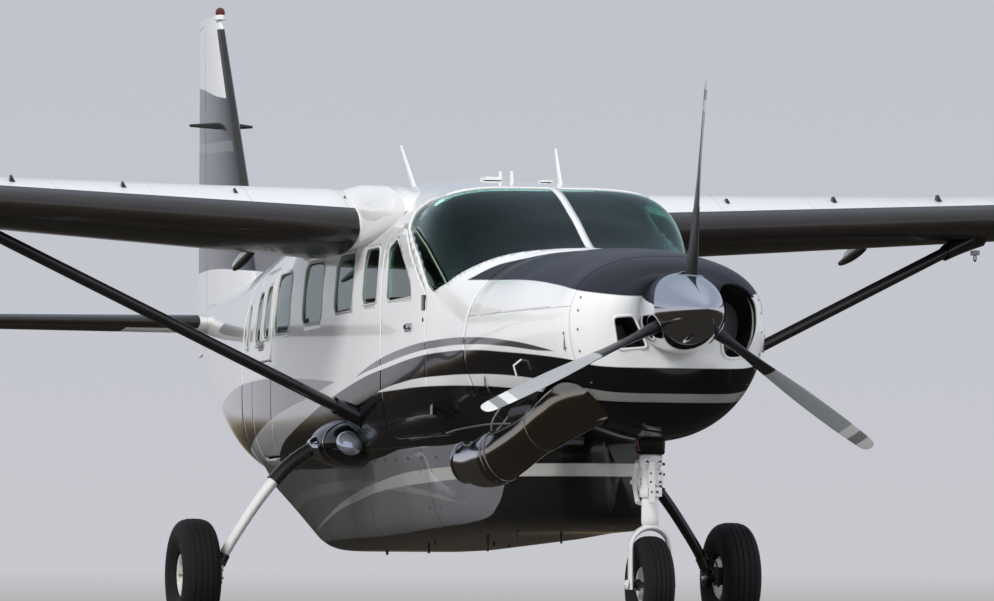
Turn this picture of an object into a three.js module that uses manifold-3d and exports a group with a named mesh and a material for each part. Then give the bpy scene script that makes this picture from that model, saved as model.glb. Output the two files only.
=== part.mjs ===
// A single-engine high-wing turboprop on fixed tricycle gear, with a cargo pod under its belly.
// Millimetres, +Z up, the nose towards -Y, +X to the pilot's left. The origin is on the ground, on the
// centreline, halfway along the length. A station is a distance aft of the spinner's tip.

import * as THREE from 'three';
import { mergeVertices } from 'three/addons/utils/BufferGeometryUtils.js';
import Module from 'manifold-3d';

const wasm = await Module();
wasm.setup();

const group = new THREE.Group();

// Driving dimensions
const overallLength = 12690;
const wingSpan = 15870;
const thrustHeight = 1840;
const firewallStation = 2270;
const bulkheadStation = 8050;
const tailEndStation = 12180;
const skin = 42;
const seatGap = 0.3;
const doorGap = 8;
const floorHeight = 1150;
const noseAxleStation = 1110;
const mainAxleStation = 5160;
const track = 3560;

const paint = {
  white: new THREE.MeshStandardMaterial({ color: 0xf2f1ee, roughness: 0.25, metalness: 0 }),
  grey: new THREE.MeshStandardMaterial({ color: 0x6f7178, roughness: 0.3, metalness: 0.4 }),
  black: new THREE.MeshStandardMaterial({ color: 0x1a1a1f, roughness: 0.25, metalness: 0 }),
  boot: new THREE.MeshStandardMaterial({ color: 0x1c1c1d, roughness: 0.6, metalness: 0 }),
  polished: new THREE.MeshStandardMaterial({ color: 0xd9dadd, roughness: 0.12, metalness: 1 }),
  steel: new THREE.MeshStandardMaterial({ color: 0xa8a49c, roughness: 0.3, metalness: 1 }),
  blade: new THREE.MeshStandardMaterial({ color: 0x232326, roughness: 0.45, metalness: 0.2 }),
  rubber: new THREE.MeshStandardMaterial({ color: 0x1b1b1b, roughness: 0.85, metalness: 0 }),
  rim: new THREE.MeshStandardMaterial({ color: 0xe6e6e6, roughness: 0.4, metalness: 0.3 }),
  glass: new THREE.MeshStandardMaterial({ color: 0x2f4a4a, roughness: 0.05, metalness: 0 }),
  trim: new THREE.MeshStandardMaterial({ color: 0x3a3b3f, roughness: 0.6, metalness: 0 }),
  leather: new THREE.MeshStandardMaterial({ color: 0x8c8378, roughness: 0.6, metalness: 0 }),
  casting: new THREE.MeshStandardMaterial({ color: 0x55565a, roughness: 0.6, metalness: 0.8 }),
};

const { abs, atan2, cos, hypot, max, min, PI, round, sign, sin, sqrt, tan } = Math;
const rad = THREE.MathUtils.degToRad;
const alongAt = (station) => station - overallLength / 2;

// A closed solid from a geometry, with its faces turned outwards.
function solidOf(geometry) {
  const bare = geometry.clone();
  bare.deleteAttribute('normal');
  bare.deleteAttribute('uv');
  const merged = mergeVertices(bare, 1e-3);
  const position = merged.attributes.position;
  const index = Array.from(merged.index.array);
  const a = new THREE.Vector3();
  const b = new THREE.Vector3();
  const c = new THREE.Vector3();
  const kept = [];
  let volume = 0;
  for (let i = 0; i < index.length; i += 3) {
    const [i0, i1, i2] = index.slice(i, i + 3);
    if (i0 === i1 || i1 === i2 || i2 === i0) continue;
    a.fromBufferAttribute(position, i0);
    b.fromBufferAttribute(position, i1);
    c.fromBufferAttribute(position, i2);
    volume += a.dot(b.cross(c));
    kept.push(i0, i1, i2);
  }
  if (volume < 0) kept.reverse();
  const mesh = new wasm.Mesh({
    numProp: 3,
    vertProperties: Float32Array.from(position.array),
    triVerts: Uint32Array.from(kept),
  });
  return new wasm.Manifold(mesh);
}

function geometryOf(solid) {
  const mesh = solid.getMesh();
  const geometry = new THREE.BufferGeometry();
  geometry.setAttribute('position', new THREE.Float32BufferAttribute(mesh.vertProperties, 3));
  geometry.setIndex(Array.from(mesh.triVerts));
  geometry.computeVertexNormals();
  return geometry;
}

function addPiece(name, solid, material, place = new THREE.Vector3()) {
  const mesh = new THREE.Mesh(geometryOf(solid), material);
  mesh.name = name;
  mesh.position.copy(place);
  group.add(mesh);
}

const joined = (...solids) => solids.reduce((whole, next) => whole.add(next));

// A simple shape moved into place: size, centre (x, along, up) and turns about the three axes.
function placed(geometry, centre, turns = [0, 0, 0]) {
  const turn = new THREE.Matrix4().makeRotationFromEuler(new THREE.Euler(...turns));
  return solidOf(geometry.clone().applyMatrix4(turn).translate(...centre));
}

const box = (size, centre, turns) => placed(new THREE.BoxGeometry(...size), centre, turns);

// A round bar or cone between two points, with a radius at each end.
function bar(from, to, radiusFrom, radiusTo = radiusFrom, sides = 20) {
  const start = new THREE.Vector3(...from);
  const end = new THREE.Vector3(...to);
  const along = end.clone().sub(start);
  const geometry = new THREE.CylinderGeometry(radiusTo, radiusFrom, along.length(), sides);
  const up = new THREE.Vector3(0, 1, 0);
  geometry.applyQuaternion(new THREE.Quaternion().setFromUnitVectors(up, along.clone().normalize()));
  const middle = start.add(end).multiplyScalar(0.5);
  return solidOf(geometry.translate(middle.x, middle.y, middle.z));
}

// The two ends of a line, moved apart by a length at each end
function stretched(from, to, by) {
  const start = new THREE.Vector3(...from);
  const end = new THREE.Vector3(...to);
  const run = end.clone().sub(start).setLength(by);
  return [start.sub(run).toArray(), end.add(run).toArray()];
}

// A value from a table of rows, on a smooth curve through the rows, at a place in the first column.
function between(rows, key, at) {
  const last = rows.length - 1;
  let k = 0;
  while (k < last - 1 && at > rows[k + 1].at) k += 1;
  const slopeAt = (i) => {
    const low = rows[max(i - 1, 0)];
    const high = rows[min(i + 1, last)];
    return (high[key] - low[key]) / (high.at - low.at);
  };
  const step = rows[k + 1].at - rows[k].at;
  const t = min(max((at - rows[k].at) / step, 0), 1);
  const rise = rows[k + 1][key] - rows[k][key];
  const s0 = slopeAt(k) * step;
  const s1 = slopeAt(k + 1) * step;
  return rows[k][key] + t * (s0 + t * (3 * rise - 2 * s0 - s1 + t * (s0 + s1 - 2 * rise)));
}

// A body through a row of sections: a tube of unit radius whose rings are moved onto the sections.
function loft(places, sides, pointAt) {
  const rings = places.length - 1;
  const tube = new THREE.CylinderGeometry(1, 1, rings, sides, rings);
  const points = tube.attributes.position;
  for (let i = 0; i < points.count; i += 1) {
    const ring = round(points.getY(i) + rings / 2);
    const radius = min(round(hypot(points.getX(i), points.getZ(i)) * 1e6) / 1e6, 1);
    const turn = atan2(points.getZ(i), points.getX(i));
    points.setXYZ(i, ...pointAt(places[ring], turn, radius));
  }
  return solidOf(tube);
}

const tableOf = (columns, rows) => rows.map((row) =>
  Object.fromEntries(columns.map((column, i) => [column, row[i]])));

// The fuselage from the cowl's lip to the end of the tail cone
const bodyColumns = ['at', 'halfWidth', 'bottom', 'top', 'waist', 'roofSquare', 'bellySquare'];
const bodyTable = tableOf(bodyColumns, [
  [600, 410, 1330, 2070, 1810, 2.2, 2.2],
  [650, 490, 1250, 2125, 1800, 2.3, 2.1],
  [760, 580, 1172, 2170, 1790, 2.4, 2.05],
  [1000, 650, 1118, 2222, 1770, 2.1, 2.05],
  [1500, 735, 1050, 2264, 1740, 2.3, 2.2],
  [2050, 792, 1003, 2280, 1700, 2.4, 2.8],
  [2315, 808, 985, 2302, 1680, 2.5, 3.3],
  [2700, 820, 965, 2520, 1660, 3, 3.7],
  [3100, 851, 955, 2708, 1650, 5, 4],
  [3500, 863, 950, 2750, 1650, 4.6, 4],
  [3900, 867, 950, 2798, 1650, 4.4, 4],
  [4450, 870, 950, 2840, 1650, 4.1, 4],
  [5400, 868, 950, 2830, 1650, 4, 4],
  [6400, 862, 950, 2780, 1650, 4, 4],
  [7000, 845, 955, 2720, 1650, 3.6, 3.8],
  [7600, 812, 970, 2670, 1660, 3.2, 3.4],
  [8300, 745, 1010, 2620, 1680, 2.9, 3],
  [9400, 590, 1150, 2560, 1760, 2.6, 2.6],
  [10400, 430, 1400, 2500, 1880, 2.4, 2.4],
  [11400, 260, 1690, 2440, 2020, 2.3, 2.3],
  [12180, 105, 1960, 2400, 2180, 2.1, 2.1],
]);

// A point of the fuselage's section, a superellipse about its waist, shrunk by an inset.
function bodyPoint(station, turn, radius, inset = 0) {
  const read = (key) => between(bodyTable, key, station);
  const across = cos(turn);
  const up = sin(turn);
  const waist = read('waist');
  const height = up > 0 ? read('top') - waist : waist - read('bottom');
  const power = 2 / (up > 0 ? read('roofSquare') : read('bellySquare'));
  return [
    radius * (read('halfWidth') - inset) * sign(across) * abs(across) ** power,
    alongAt(station),
    waist + radius * (height - inset) * sign(up) * abs(up) ** power,
  ];
}

const bodySides = 28;
const splitStations = [firewallStation, bulkheadStation];
const bodyRings = (from, to, step) => {
  const all = [...bodyTable.map((row) => row.at), ...splitStations].sort((a, b) => a - b);
  return [from, ...all.filter((at) => at > from + step && at < to - step), to];
};
const bodyLoft = (from, to, inset = 0) =>
  loft(bodyRings(from, to, 60), bodySides, (at, turn, radius) => bodyPoint(at, turn, radius, inset));

// Half the fuselage's width at a station and a height
function halfWidthAt(station, height) {
  const read = (key) => between(bodyTable, key, station);
  const waist = read('waist');
  const above = height > waist;
  const reach = above ? read('top') - waist : waist - read('bottom');
  const power = above ? read('roofSquare') : read('bellySquare');
  return read('halfWidth') * max(1 - (abs(height - waist) / reach) ** power, 0) ** (1 / power);
}

// A prism across the fuselage with an outline of (station, height) corners, rounded at each.
function sidePrism(corners, cornerRadius, xFrom, xTo, grow = 0) {
  const points = corners.map(([station, height]) => new THREE.Vector2(alongAt(station), height));
  const turnsLeft = THREE.ShapeUtils.area(points) > 0 ? 1 : -1;
  const outward = (from, to) => {
    const run = to.clone().sub(from).normalize();
    return new THREE.Vector2(run.y, -run.x).multiplyScalar(turnsLeft);
  };
  const grown = points.map((p, i) => {
    const before = outward(points.at(i - 1), p);
    const after = outward(p, points[(i + 1) % points.length]);
    const reach = grow / (1 + before.dot(after));
    return p.clone().add(before.add(after).multiplyScalar(reach));
  });
  const shape = new THREE.Shape();
  const radius = cornerRadius > 0 ? cornerRadius + grow : 0;
  if (radius <= 0) shape.setFromPoints(grown);
  else grown.forEach((p, i) => {
    const before = grown.at(i - 1);
    const after = grown[(i + 1) % grown.length];
    const start = p.clone().add(before.clone().sub(p).setLength(radius));
    const end = p.clone().add(after.clone().sub(p).setLength(radius));
    if (i === 0) shape.moveTo(start.x, start.y);
    else shape.lineTo(start.x, start.y);
    shape.quadraticCurveTo(p.x, p.y, end.x, end.y);
  });
  const depth = abs(xTo - xFrom);
  const geometry = new THREE.ExtrudeGeometry(shape, { depth, bevelEnabled: false, curveSegments: 2 });
  // The outline's first axis is laid along the fuselage and its second upright, extruded towards +X.
  geometry.applyMatrix4(new THREE.Matrix4().set(0, 0, 1, min(xFrom, xTo), 1, 0, 0, 0, 0, 1, 0, 0, 0, 0, 0, 1));
  return solidOf(geometry);
}

const below = (height) => box([3000, 14000, 3000], [0, 0, height - 1500]);

// The fuselage's skins
const outerGrown = bodyLoft(600, tailEndStation, -seatGap);
const cabinOuter = bodyLoft(firewallStation, bulkheadStation);
const cabinHollow = bodyLoft(firewallStation + 30, bulkheadStation - 30, skin)
  .subtract(box([2400, 8000, 1000], [0, 0, floorHeight - 500]));
const glassLayer = bodyLoft(1500, bulkheadStation, 8).subtract(bodyLoft(1400, bulkheadStation + 100, 15));
const linerLayer = bodyLoft(1500, bulkheadStation, skin + seatGap)
  .subtract(bodyLoft(1400, bulkheadStation + 100, skin + 8));
const wallLayer = bodyLoft(1500, bulkheadStation, 8).subtract(bodyLoft(1400, bulkheadStation + 100, skin + 8));

// Side windows: front and rear stations, sill and head heights
const windowColumns = ['from', 'to', 'sill', 'head'];
const rightWindows = tableOf(windowColumns, [
  [4090, 4480, 2040, 2400],
  [4695, 5175, 2020, 2400],
  [5505, 6020, 1985, 2390],
  [6385, 6865, 1950, 2360],
]);
const stairWindows = tableOf(windowColumns, [
  [7010, 7250, 1930, 2300],
  [7320, 7560, 1900, 2270],
]);
const leftWindows = tableOf(windowColumns, [
  [4090, 4480, 2040, 2400],
  [4695, 5175, 2020, 2400],
  [5505, 6020, 1985, 2390],
]);
const cargoWindows = tableOf(windowColumns, [
  [6540, 6980, 1940, 2320],
  [7110, 7550, 1910, 2290],
]);
const [rearWindow] = tableOf(windowColumns, [[7790, 7930, 1900, 2200]]);
const cornersOf = (w) => [[w.from, w.sill], [w.to, w.sill], [w.to, w.head], [w.from, w.head]];
const windowRadius = 60;

// Doors: corner outlines of (station, height)
const crewDoorOutline = [[3010, 1200], [3985, 1200], [3985, 2412], [3615, 2500], [3010, 2060]];
const crewWindowOutline = [[3285, 2045], [3875, 2036], [3905, 2375], [3745, 2432], [3330, 2155]];
const stairOutlineUpper = [[6930, 1790], [7610, 1790], [7610, 2400], [6930, 2400]];
const stairOutlineLower = [[6930, 1150], [7610, 1150], [7610, 1790], [6930, 1790]];
const cargoOutlineUpper = [[6425, 1790], [7665, 1790], [7665, 2400], [6425, 2400]];
const cargoOutlineLower = [[6425, 1150], [7665, 1150], [7665, 1790], [6425, 1790]];
const doorRadius = 70;

const sideReach = 1200;
const sideSpan = (side) => (side > 0 ? [300, sideReach] : [-sideReach, -300]);
const sideCut = (corners, radius, side, grow) => sidePrism(corners, radius, ...sideSpan(side), grow);

// The windshield: seen from the side, it lies ahead of this outline and behind its swept base
const windshieldSide = [
  [2322, 2304], [2400, 2272], [2520, 2202], [2724, 2107], [2905, 2052], [2990, 2095], [3205, 2295],
  [3570, 2492], [3605, 2580], [3510, 2656], [3240, 2676], [3168, 2704], [3168, 2800], [2300, 2420],
];
const windshieldCut = sidePrism(windshieldSide, 25, -1000, 1000);
const postHalf = 22;
const windshieldOpening = windshieldCut.subtract(box([2 * postHalf, 3000, 2000], [0, alongAt(2700), 2500]));
const windshieldPanes = sidePrism(windshieldSide, 25, -1000, 1000, -seatGap)
  .subtract(box([2 * (postHalf + seatGap), 3000, 2000], [0, alongAt(2700), 2500]));

// A door: the part of the wall inside its outline, trimmed to clear its frame as it turns on its hinge.
function doorPanel(corners, side, hingeFrom, hingeTo, reach) {
  const wall = cabinOuter.subtract(cabinHollow);
  const panel = wall.intersect(sideCut(corners, doorRadius, side, -doorGap / 2));
  const beyond = stretched(hingeFrom, hingeTo, 150);
  return panel.intersect(bar(...beyond, reach, reach, 48));
}

// Hinge knuckles on a line: barrels with leaves into the door, and the room that the frame leaves them
const barrel = { radius: 9, half: 30, sides: 10 };
function knuckles(from, to, shares, toward, inward) {
  const start = new THREE.Vector3(...from);
  const run = new THREE.Vector3(...to).sub(start);
  const axis = run.clone().normalize();
  const roomRadius = (barrel.radius + seatGap) / cos(PI / barrel.sides);
  const solids = shares.map((share) => {
    const middle = start.clone().addScaledVector(run, share);
    const ends = (half) => [-half, half].map((at) => middle.clone().addScaledVector(axis, at).toArray());
    const leaf = new THREE.BoxGeometry(2 * barrel.half, 30, 10).translate(0, 15, 6);
    leaf.applyMatrix4(new THREE.Matrix4().makeBasis(axis, toward, inward));
    const pin = bar(...ends(barrel.half), barrel.radius, barrel.radius, barrel.sides);
    return {
      knuckle: pin.add(solidOf(leaf.translate(...middle.toArray()))),
      room: bar(...ends(barrel.half + seatGap), roomRadius, roomRadius, barrel.sides),
    };
  });
  return { pins: joined(...solids.map((k) => k.knuckle)), rooms: joined(...solids.map((k) => k.room)) };
}

const crewHinge = { station: 3006, across: 847, low: 1450, high: 1830 };
const crewReach = 3985 - doorGap / 2 - crewHinge.station;
function crewDoor(side) {
  const x = side * crewHinge.across;
  const y = alongAt(crewHinge.station);
  return doorPanel(crewDoorOutline, side, [x, y, 950], [x, y, 2850], crewReach);
}
const aftward = new THREE.Vector3(0, 1, 0);
const upward = new THREE.Vector3(0, 0, 1);
const downward = new THREE.Vector3(0, 0, -1);
const inwardFrom = (side) => new THREE.Vector3(-side, 0, 0);
function edgeHinge(side, fromStation, toStation, height) {
  return [fromStation, toStation].map((station) =>
    [side * halfWidthAt(station, height), alongAt(station), height]);
}
const uprightHinge = (side, hinge) => [hinge.low, hinge.high].map((height) =>
  [side * hinge.across, alongAt(hinge.station), height]);
const cargoHinge = { station: 6421, across: 860, low: 1300, high: 1700 };
const stairTopHinge = edgeHinge(-1, 6930, 7610, 2396);
const stairLowHinge = edgeHinge(-1, 6930, 7610, 1149);
const cargoTopHinge = edgeHinge(1, 6425, 7665, 2396);
const hinges = {
  crewLeft: knuckles(...uprightHinge(1, crewHinge), [0, 1], aftward, inwardFrom(1)),
  crewRight: knuckles(...uprightHinge(-1, crewHinge), [0, 1], aftward, inwardFrom(-1)),
  stairTop: knuckles(...stairTopHinge, [0.2, 0.8], downward, inwardFrom(-1)),
  stairLow: knuckles(...stairLowHinge, [0.2, 0.8], upward, inwardFrom(-1)),
  cargoTop: knuckles(...cargoTopHinge, [0.15, 0.85], downward, inwardFrom(1)),
  cargoLow: knuckles(...uprightHinge(1, cargoHinge), [0, 1], aftward, inwardFrom(1)),
};

const wallWithOpenings = () => {
  let shell = cabinOuter.subtract(cabinHollow);
  for (const side of [-1, 1]) {
    shell = shell.subtract(sideCut(crewDoorOutline, doorRadius, side, doorGap / 2));
    for (const w of side > 0 ? leftWindows : rightWindows) {
      shell = shell.subtract(sideCut(cornersOf(w), windowRadius, side, 0));
    }
    shell = shell.subtract(sideCut(cornersOf(rearWindow), 45, side, 0));
  }
  const stair = [[6930, 1150], [7610, 1150], [7610, 2400], [6930, 2400]];
  const cargo = [[6425, 1150], [7665, 1150], [7665, 2401], [6425, 2401]];
  shell = shell.subtract(sideCut(stair, doorRadius, -1, doorGap / 2));
  shell = shell.subtract(sideCut(cargo, doorRadius, 1, doorGap / 2));
  return shell.subtract(windshieldOpening).subtract(joined(...Object.values(hinges).map((h) => h.rooms)));
};

// The floor's raised middle panel behind the seats, where cargo is lashed down
const cargoPanel = { wide: 1100, from: 6700, to: 7900, rise: 4 };
const panelLength = cargoPanel.to - cargoPanel.from;
const raisedFloor = box(
  [cargoPanel.wide, panelLength, 2 * cargoPanel.rise],
  [0, alongAt(cargoPanel.from + panelLength / 2), floorHeight],
);

// The cabin in two: the floor with the belly under it, and the walls, roof and bulkheads standing on it
const cabinWalls = wallWithOpenings();
addPiece('cabin_floor', cabinWalls.intersect(below(floorHeight)).add(raisedFloor), paint.white);
addPiece('cabin_shell', cabinWalls.subtract(below(floorHeight + seatGap)), paint.white);

for (const [name, side] of [['left', 1], ['right', -1]]) {
  const pins = (side > 0 ? hinges.crewLeft : hinges.crewRight).pins;
  const door = crewDoor(side).subtract(sideCut(crewWindowOutline, 40, side, 0)).add(pins);
  addPiece(`crew_door_${name}`, door, paint.white);
  const pane = glassLayer.intersect(sideCut(crewWindowOutline, 40, side, -seatGap));
  addPiece(`crew_window_${name}`, pane, paint.glass);
  const half = windshieldPanes.intersect(box([2000, 4000, 3000], [side * 1000, alongAt(2700), 2000]));
  addPiece(`windshield_${name}`, glassLayer.intersect(half), paint.glass);
}

// Panes on one body, joined behind the wall by a rail under their sills, with a tab out to each pane
const railDepth = 40;
const tabHalf = 50;
const tabRise = 16;
function glazing(windows, side) {
  const first = windows[0];
  const last = windows.at(-1);
  const rail = [
    [first.from + 20, first.sill - railDepth], [last.to - 20, last.sill - railDepth],
    [last.to - 20, last.sill + tabRise], [first.from + 20, first.sill + tabRise],
  ];
  let whole = linerLayer.intersect(sideCut(rail, 0, side, 0));
  for (const w of windows) {
    const pane = sideCut(cornersOf(w), windowRadius, side, -seatGap);
    const middle = (w.from + w.to) / 2;
    const foot = [
      [middle - tabHalf, w.sill - railDepth], [middle + tabHalf, w.sill - railDepth],
      [middle + tabHalf, w.sill + tabRise], [middle - tabHalf, w.sill + tabRise],
    ];
    const tab = sideCut(foot, 0, side, 0);
    whole = joined(whole, glassLayer.intersect(pane), wallLayer.intersect(tab.intersect(pane)));
    whole = whole.add(linerLayer.intersect(tab));
  }
  return whole;
}

addPiece('cabin_windows_right', glazing(rightWindows, -1), paint.glass);
addPiece('cabin_windows_left', glazing(leftWindows, 1), paint.glass);
for (const [name, side] of [['left', 1], ['right', -1]]) {
  const pane = glassLayer.intersect(sideCut(cornersOf(rearWindow), 45, side, -seatGap));
  addPiece(`rear_window_${name}`, pane, paint.glass);
}

// The passengers' door: its upper half hinges at the top, its lower half, with the steps, at the bottom
const stairUpper = doorPanel(stairOutlineUpper, -1, ...stairTopHinge, 640);
const stairLower = doorPanel(stairOutlineLower, -1, ...stairLowHinge, 660);
const cargoUpper = doorPanel(cargoOutlineUpper, 1, ...cargoTopHinge, 640);
const cargoReach = 7665 - doorGap / 2 - cargoHinge.station;
const cargoLower = doorPanel(
  cargoOutlineLower, 1,
  [cargoHinge.across, alongAt(cargoHinge.station), 1000],
  [cargoHinge.across, alongAt(cargoHinge.station), 2000],
  cargoReach,
);
let upperStair = stairUpper;
for (const w of stairWindows) upperStair = upperStair.subtract(sideCut(cornersOf(w), windowRadius, -1, 0));
addPiece('airstair_upper', upperStair.add(hinges.stairTop.pins), paint.white);
addPiece('airstair_windows', glazing(stairWindows, -1), paint.glass);
addPiece('airstair_lower', stairLower.add(hinges.stairLow.pins), paint.white);
let upperCargo = cargoUpper;
for (const w of cargoWindows) upperCargo = upperCargo.subtract(sideCut(cornersOf(w), windowRadius, 1, 0));
addPiece('cargo_door_upper', upperCargo.add(hinges.cargoTop.pins), paint.white);
addPiece('cargo_windows', glazing(cargoWindows, 1), paint.glass);
addPiece('cargo_door_lower', cargoLower.add(hinges.cargoLow.pins), paint.white);

// An aerofoil's point at a turn from its trailing edge over its upper side, as shares of the chord
function aerofoil(turn, thick, camber) {
  const along = (1 + cos(turn)) / 2;
  const half = 5 * thick * (0.2969 * sqrt(along) - 0.126 * along - 0.3516 * along ** 2
    + 0.2843 * along ** 3 - 0.1036 * along ** 4);
  const rise = along < 0.4
    ? camber / 0.16 * (0.8 * along - along ** 2)
    : camber / 0.36 * (0.2 + 0.8 * along - along ** 2);
  return [along, rise + sign(sin(turn)) * max(half, 0)];
}

// The wing: distance from the centreline, leading edge's station and height, chord, thickness and twist
const wingColumns = ['at', 'leading', 'height', 'chord', 'thick', 'twist'];
const wingTable = tableOf(wingColumns, [
  [880, 4452, 2546, 1966, 0.172, 2.48],
  [7750, 4617, 2892, 1245, 0.125, -0.6],
  [7880, 4650, 2900, 1180, 0.105, -0.6],
  [wingSpan / 2, 4730, 2905, 1010, 0.06, -0.6],
]);
// Inboard of the wing's first section a fairing carries its leading edge forward into the roof's corner
const fairingTable = tableOf(wingColumns, [
  [560, 3700, 2612, 2717, 0.118, 3.1],
  [770, 3790, 2602, 2627, 0.123, 3],
  [835, 4060, 2580, 2357, 0.143, 2.8],
]);
const wingSides = 24;
function foilPoint(row, turn, radius, camber) {
  const [along, rise] = aerofoil(turn, row.thick, camber);
  const middle = (aerofoil(PI / 2, row.thick, camber)[1] + aerofoil(-PI / 2, row.thick, camber)[1]) / 2;
  const back = row.chord * (0.5 + radius * (along - 0.5));
  const up = row.chord * (middle + radius * (rise - middle));
  return [row.leading + back, row.height + up - back * sin(rad(row.twist))];
}
const wingCamber = 0.02;
const wholeWing = (side) => loft([...fairingTable, ...wingTable], wingSides, (row, turn, radius) => {
  const [station, height] = foilPoint(row, turn, radius, wingCamber);
  return [side * row.at, alongAt(station), height];
});

// A point on a control surface's hinge line inside the wing, with the wing's half thickness there
function wingHingePoint(side, at, share) {
  const turn = Math.acos(2 * share - 1);
  const [root, tip] = wingTable.map((row) => {
    const [station, above] = foilPoint(row, turn, 1, wingCamber);
    return [station, above, foilPoint(row, -turn, 1, wingCamber)[1]];
  });
  const outward = (at - wingTable[0].at) / (wingTable[1].at - wingTable[0].at);
  const [station, above, below] = root.map((value, k) => value + outward * (tip[k] - value));
  return { point: [side * at, alongAt(station), (above + below) / 2], half: (above - below) / 2 };
}

// The block behind a hinge line, from one end of a surface to the other, seen along the line
function blockBehind(from, to, endGap, back, depth = 700) {
  const start = new THREE.Vector3(...from);
  const end = new THREE.Vector3(...to);
  const axis = end.clone().sub(start);
  const length = axis.length() + 2 * endGap;
  const geometry = new THREE.BoxGeometry(length, back, depth).translate(0, back / 2, 0);
  const aft = new THREE.Vector3(0, 1, 0);
  const x = axis.normalize();
  const y = aft.sub(x.clone().multiplyScalar(aft.dot(x))).normalize();
  const z = x.clone().cross(y);
  geometry.applyMatrix4(new THREE.Matrix4().makeBasis(x, y, z));
  const middle = start.add(end).multiplyScalar(0.5);
  return solidOf(geometry.translate(middle.x, middle.y, middle.z));
}

// A surface cut out of its wing: everything behind the hinge line, with a round nose about it
const coveGap = 9;
const noseSides = 16;
const controlEndGap = 8;
const hingePin = 9;
function controlSurface(whole, from, to, halfFrom, halfTo) {
  const nose = bar(from, to, halfFrom, halfTo, noseSides);
  const pins = bar(...stretched(from, to, controlEndGap - seatGap), hingePin, hingePin, 6);
  const moving = whole.intersect(blockBehind(from, to, 0, 900).add(nose)).add(pins);
  const cove = bar(...stretched(from, to, controlEndGap), halfFrom + coveGap, halfTo + coveGap, noseSides);
  return { moving, fixed: whole.subtract(blockBehind(from, to, controlEndGap, 900).add(cove)) };
}

const flapShare = 0.74;
const flapEnds = [985, 5010];
const aileronEnds = [5040, 7480];
function wingPieces(side) {
  let fixed = wholeWing(side);
  const surfaces = [];
  for (const ends of [flapEnds, aileronEnds]) {
    const [from, to] = ends.map((at) => wingHingePoint(side, at, flapShare));
    const cut = controlSurface(wholeWing(side), from.point, to.point, from.half, to.half);
    fixed = fixed.intersect(cut.fixed);
    surfaces.push(cut.moving);
  }
  return { wing: fixed.subtract(outerGrown), flap: surfaces[0], aileron: surfaces[1] };
}

// Wing struts, an oval bar from the fuselage's side to the wing's underside
const strutLow = { x: 800, station: 4660, height: 1325 };
const strutHigh = { x: 3400, station: 4930, height: 2600 };
const strutHalfChord = 110;
const strutHalfThick = 36;
function strut(side) {
  const ends = [strutLow, strutHigh];
  const bar = loft(ends, 20, (end, turn, radius) => [
    side * end.x,
    alongAt(end.station) + radius * strutHalfChord * cos(turn),
    end.height + radius * strutHalfThick * sin(turn),
  ]);
  const lifted = wholeWing(side).translate([0, 0, -seatGap]);
  return bar.subtract(outerGrown).subtract(lifted);
}

// Tailplane and fin tables
const tailplaneColumns = ['at', 'leading', 'chord', 'thick'];
const tailplaneHeight = 2235;
const elevatorHinge = 11860;
const elevatorInner = 195;
const tailplaneTable = tableOf(tailplaneColumns, [
  [-3125, 11480, 640, 0.07],
  [-3040, 11350, 880, 0.1],
  [0, 11040, 1230, 0.115],
  [3040, 11350, 880, 0.1],
  [3125, 11480, 640, 0.07],
]);
const wholeTailplane = (grow = 0) => loft(tailplaneTable, 20, (row, turn, radius) => {
  const full = { ...row, twist: 0, height: tailplaneHeight, thick: row.thick + 2 * grow / row.chord };
  const [station, height] = foilPoint(full, turn, radius, 0);
  return [row.at, alongAt(station + grow * cos(turn)), height];
});
function tailplaneHalfThick(at) {
  const share = abs(at) / 3040;
  const [tip, root] = [tailplaneTable[3], tailplaneTable[2]];
  const chord = root.chord + share * (tip.chord - root.chord);
  const leading = root.leading + share * (tip.leading - root.leading);
  const thick = root.thick + share * (tip.thick - root.thick);
  return chord * aerofoil(Math.acos(2 * (elevatorHinge - leading) / chord - 1), thick, 0)[1];
}

const rudderHinge = { low: [12205, 2075], high: [12424, 4500] };
const finColumns = ['at', 'leading', 'chord', 'thick'];
const finTable = tableOf(finColumns, [
  [2000, 10420, overallLength - 10420, 0.085],
  [2450, 10710, overallLength - 10710, 0.09],
  [4470, 11985, overallLength - 11985, 0.1],
  [4550, 12090, 570, 0.07],
]);
const wholeFin = (grow = 0) => loft(finTable, 20, (row, turn, radius) => {
  const full = { ...row, twist: 0, height: 0, thick: row.thick + 2 * grow / row.chord };
  const [station, across] = foilPoint(full, turn, radius, 0);
  return [across, alongAt(station), row.at];
});

// The tail cone, a thin shell open at its front against the cabin's rear bulkhead
const tailSkin = 12;
const tailOuter = bodyLoft(bulkheadStation + seatGap, tailEndStation);
const tailHollow = bodyLoft(bulkheadStation - 100, tailEndStation - 60, tailSkin);
const hingeX = (x) => [x, alongAt(elevatorHinge), tailplaneHeight];
const tailSlot = wholeTailplane(seatGap).add(bar(hingeX(-400), hingeX(400), 62, 62, 24));
const foilSkin = 10;
const sparGap = 90;
const tailplane = (() => {
  let fixed = wholeTailplane();
  const moving = [];
  for (const side of [1, -1]) {
    const inner = hingeX(side * elevatorInner);
    const outer = hingeX(side * 3020);
    const halves = [elevatorInner, 3020].map(tailplaneHalfThick);
    const cut = controlSurface(wholeTailplane(), inner, outer, ...halves);
    fixed = fixed.intersect(cut.fixed);
    moving.push(cut.moving);
  }
  const aft = 600 - 90;
  const middle = box([2 * elevatorInner + 20, 1200, 400], [0, alongAt(elevatorHinge) + aft, tailplaneHeight]);
  const inside = wholeTailplane(-foilSkin)
    .intersect(box([6020, 1200, 400], [0, alongAt(elevatorHinge) - 600 - sparGap, tailplaneHeight]));
  const access = box([140, 300, 200], [0, alongAt(11450), tailplaneHeight - 100]);
  return { fixed: fixed.subtract(middle).subtract(inside).subtract(access), moving };
})();
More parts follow.
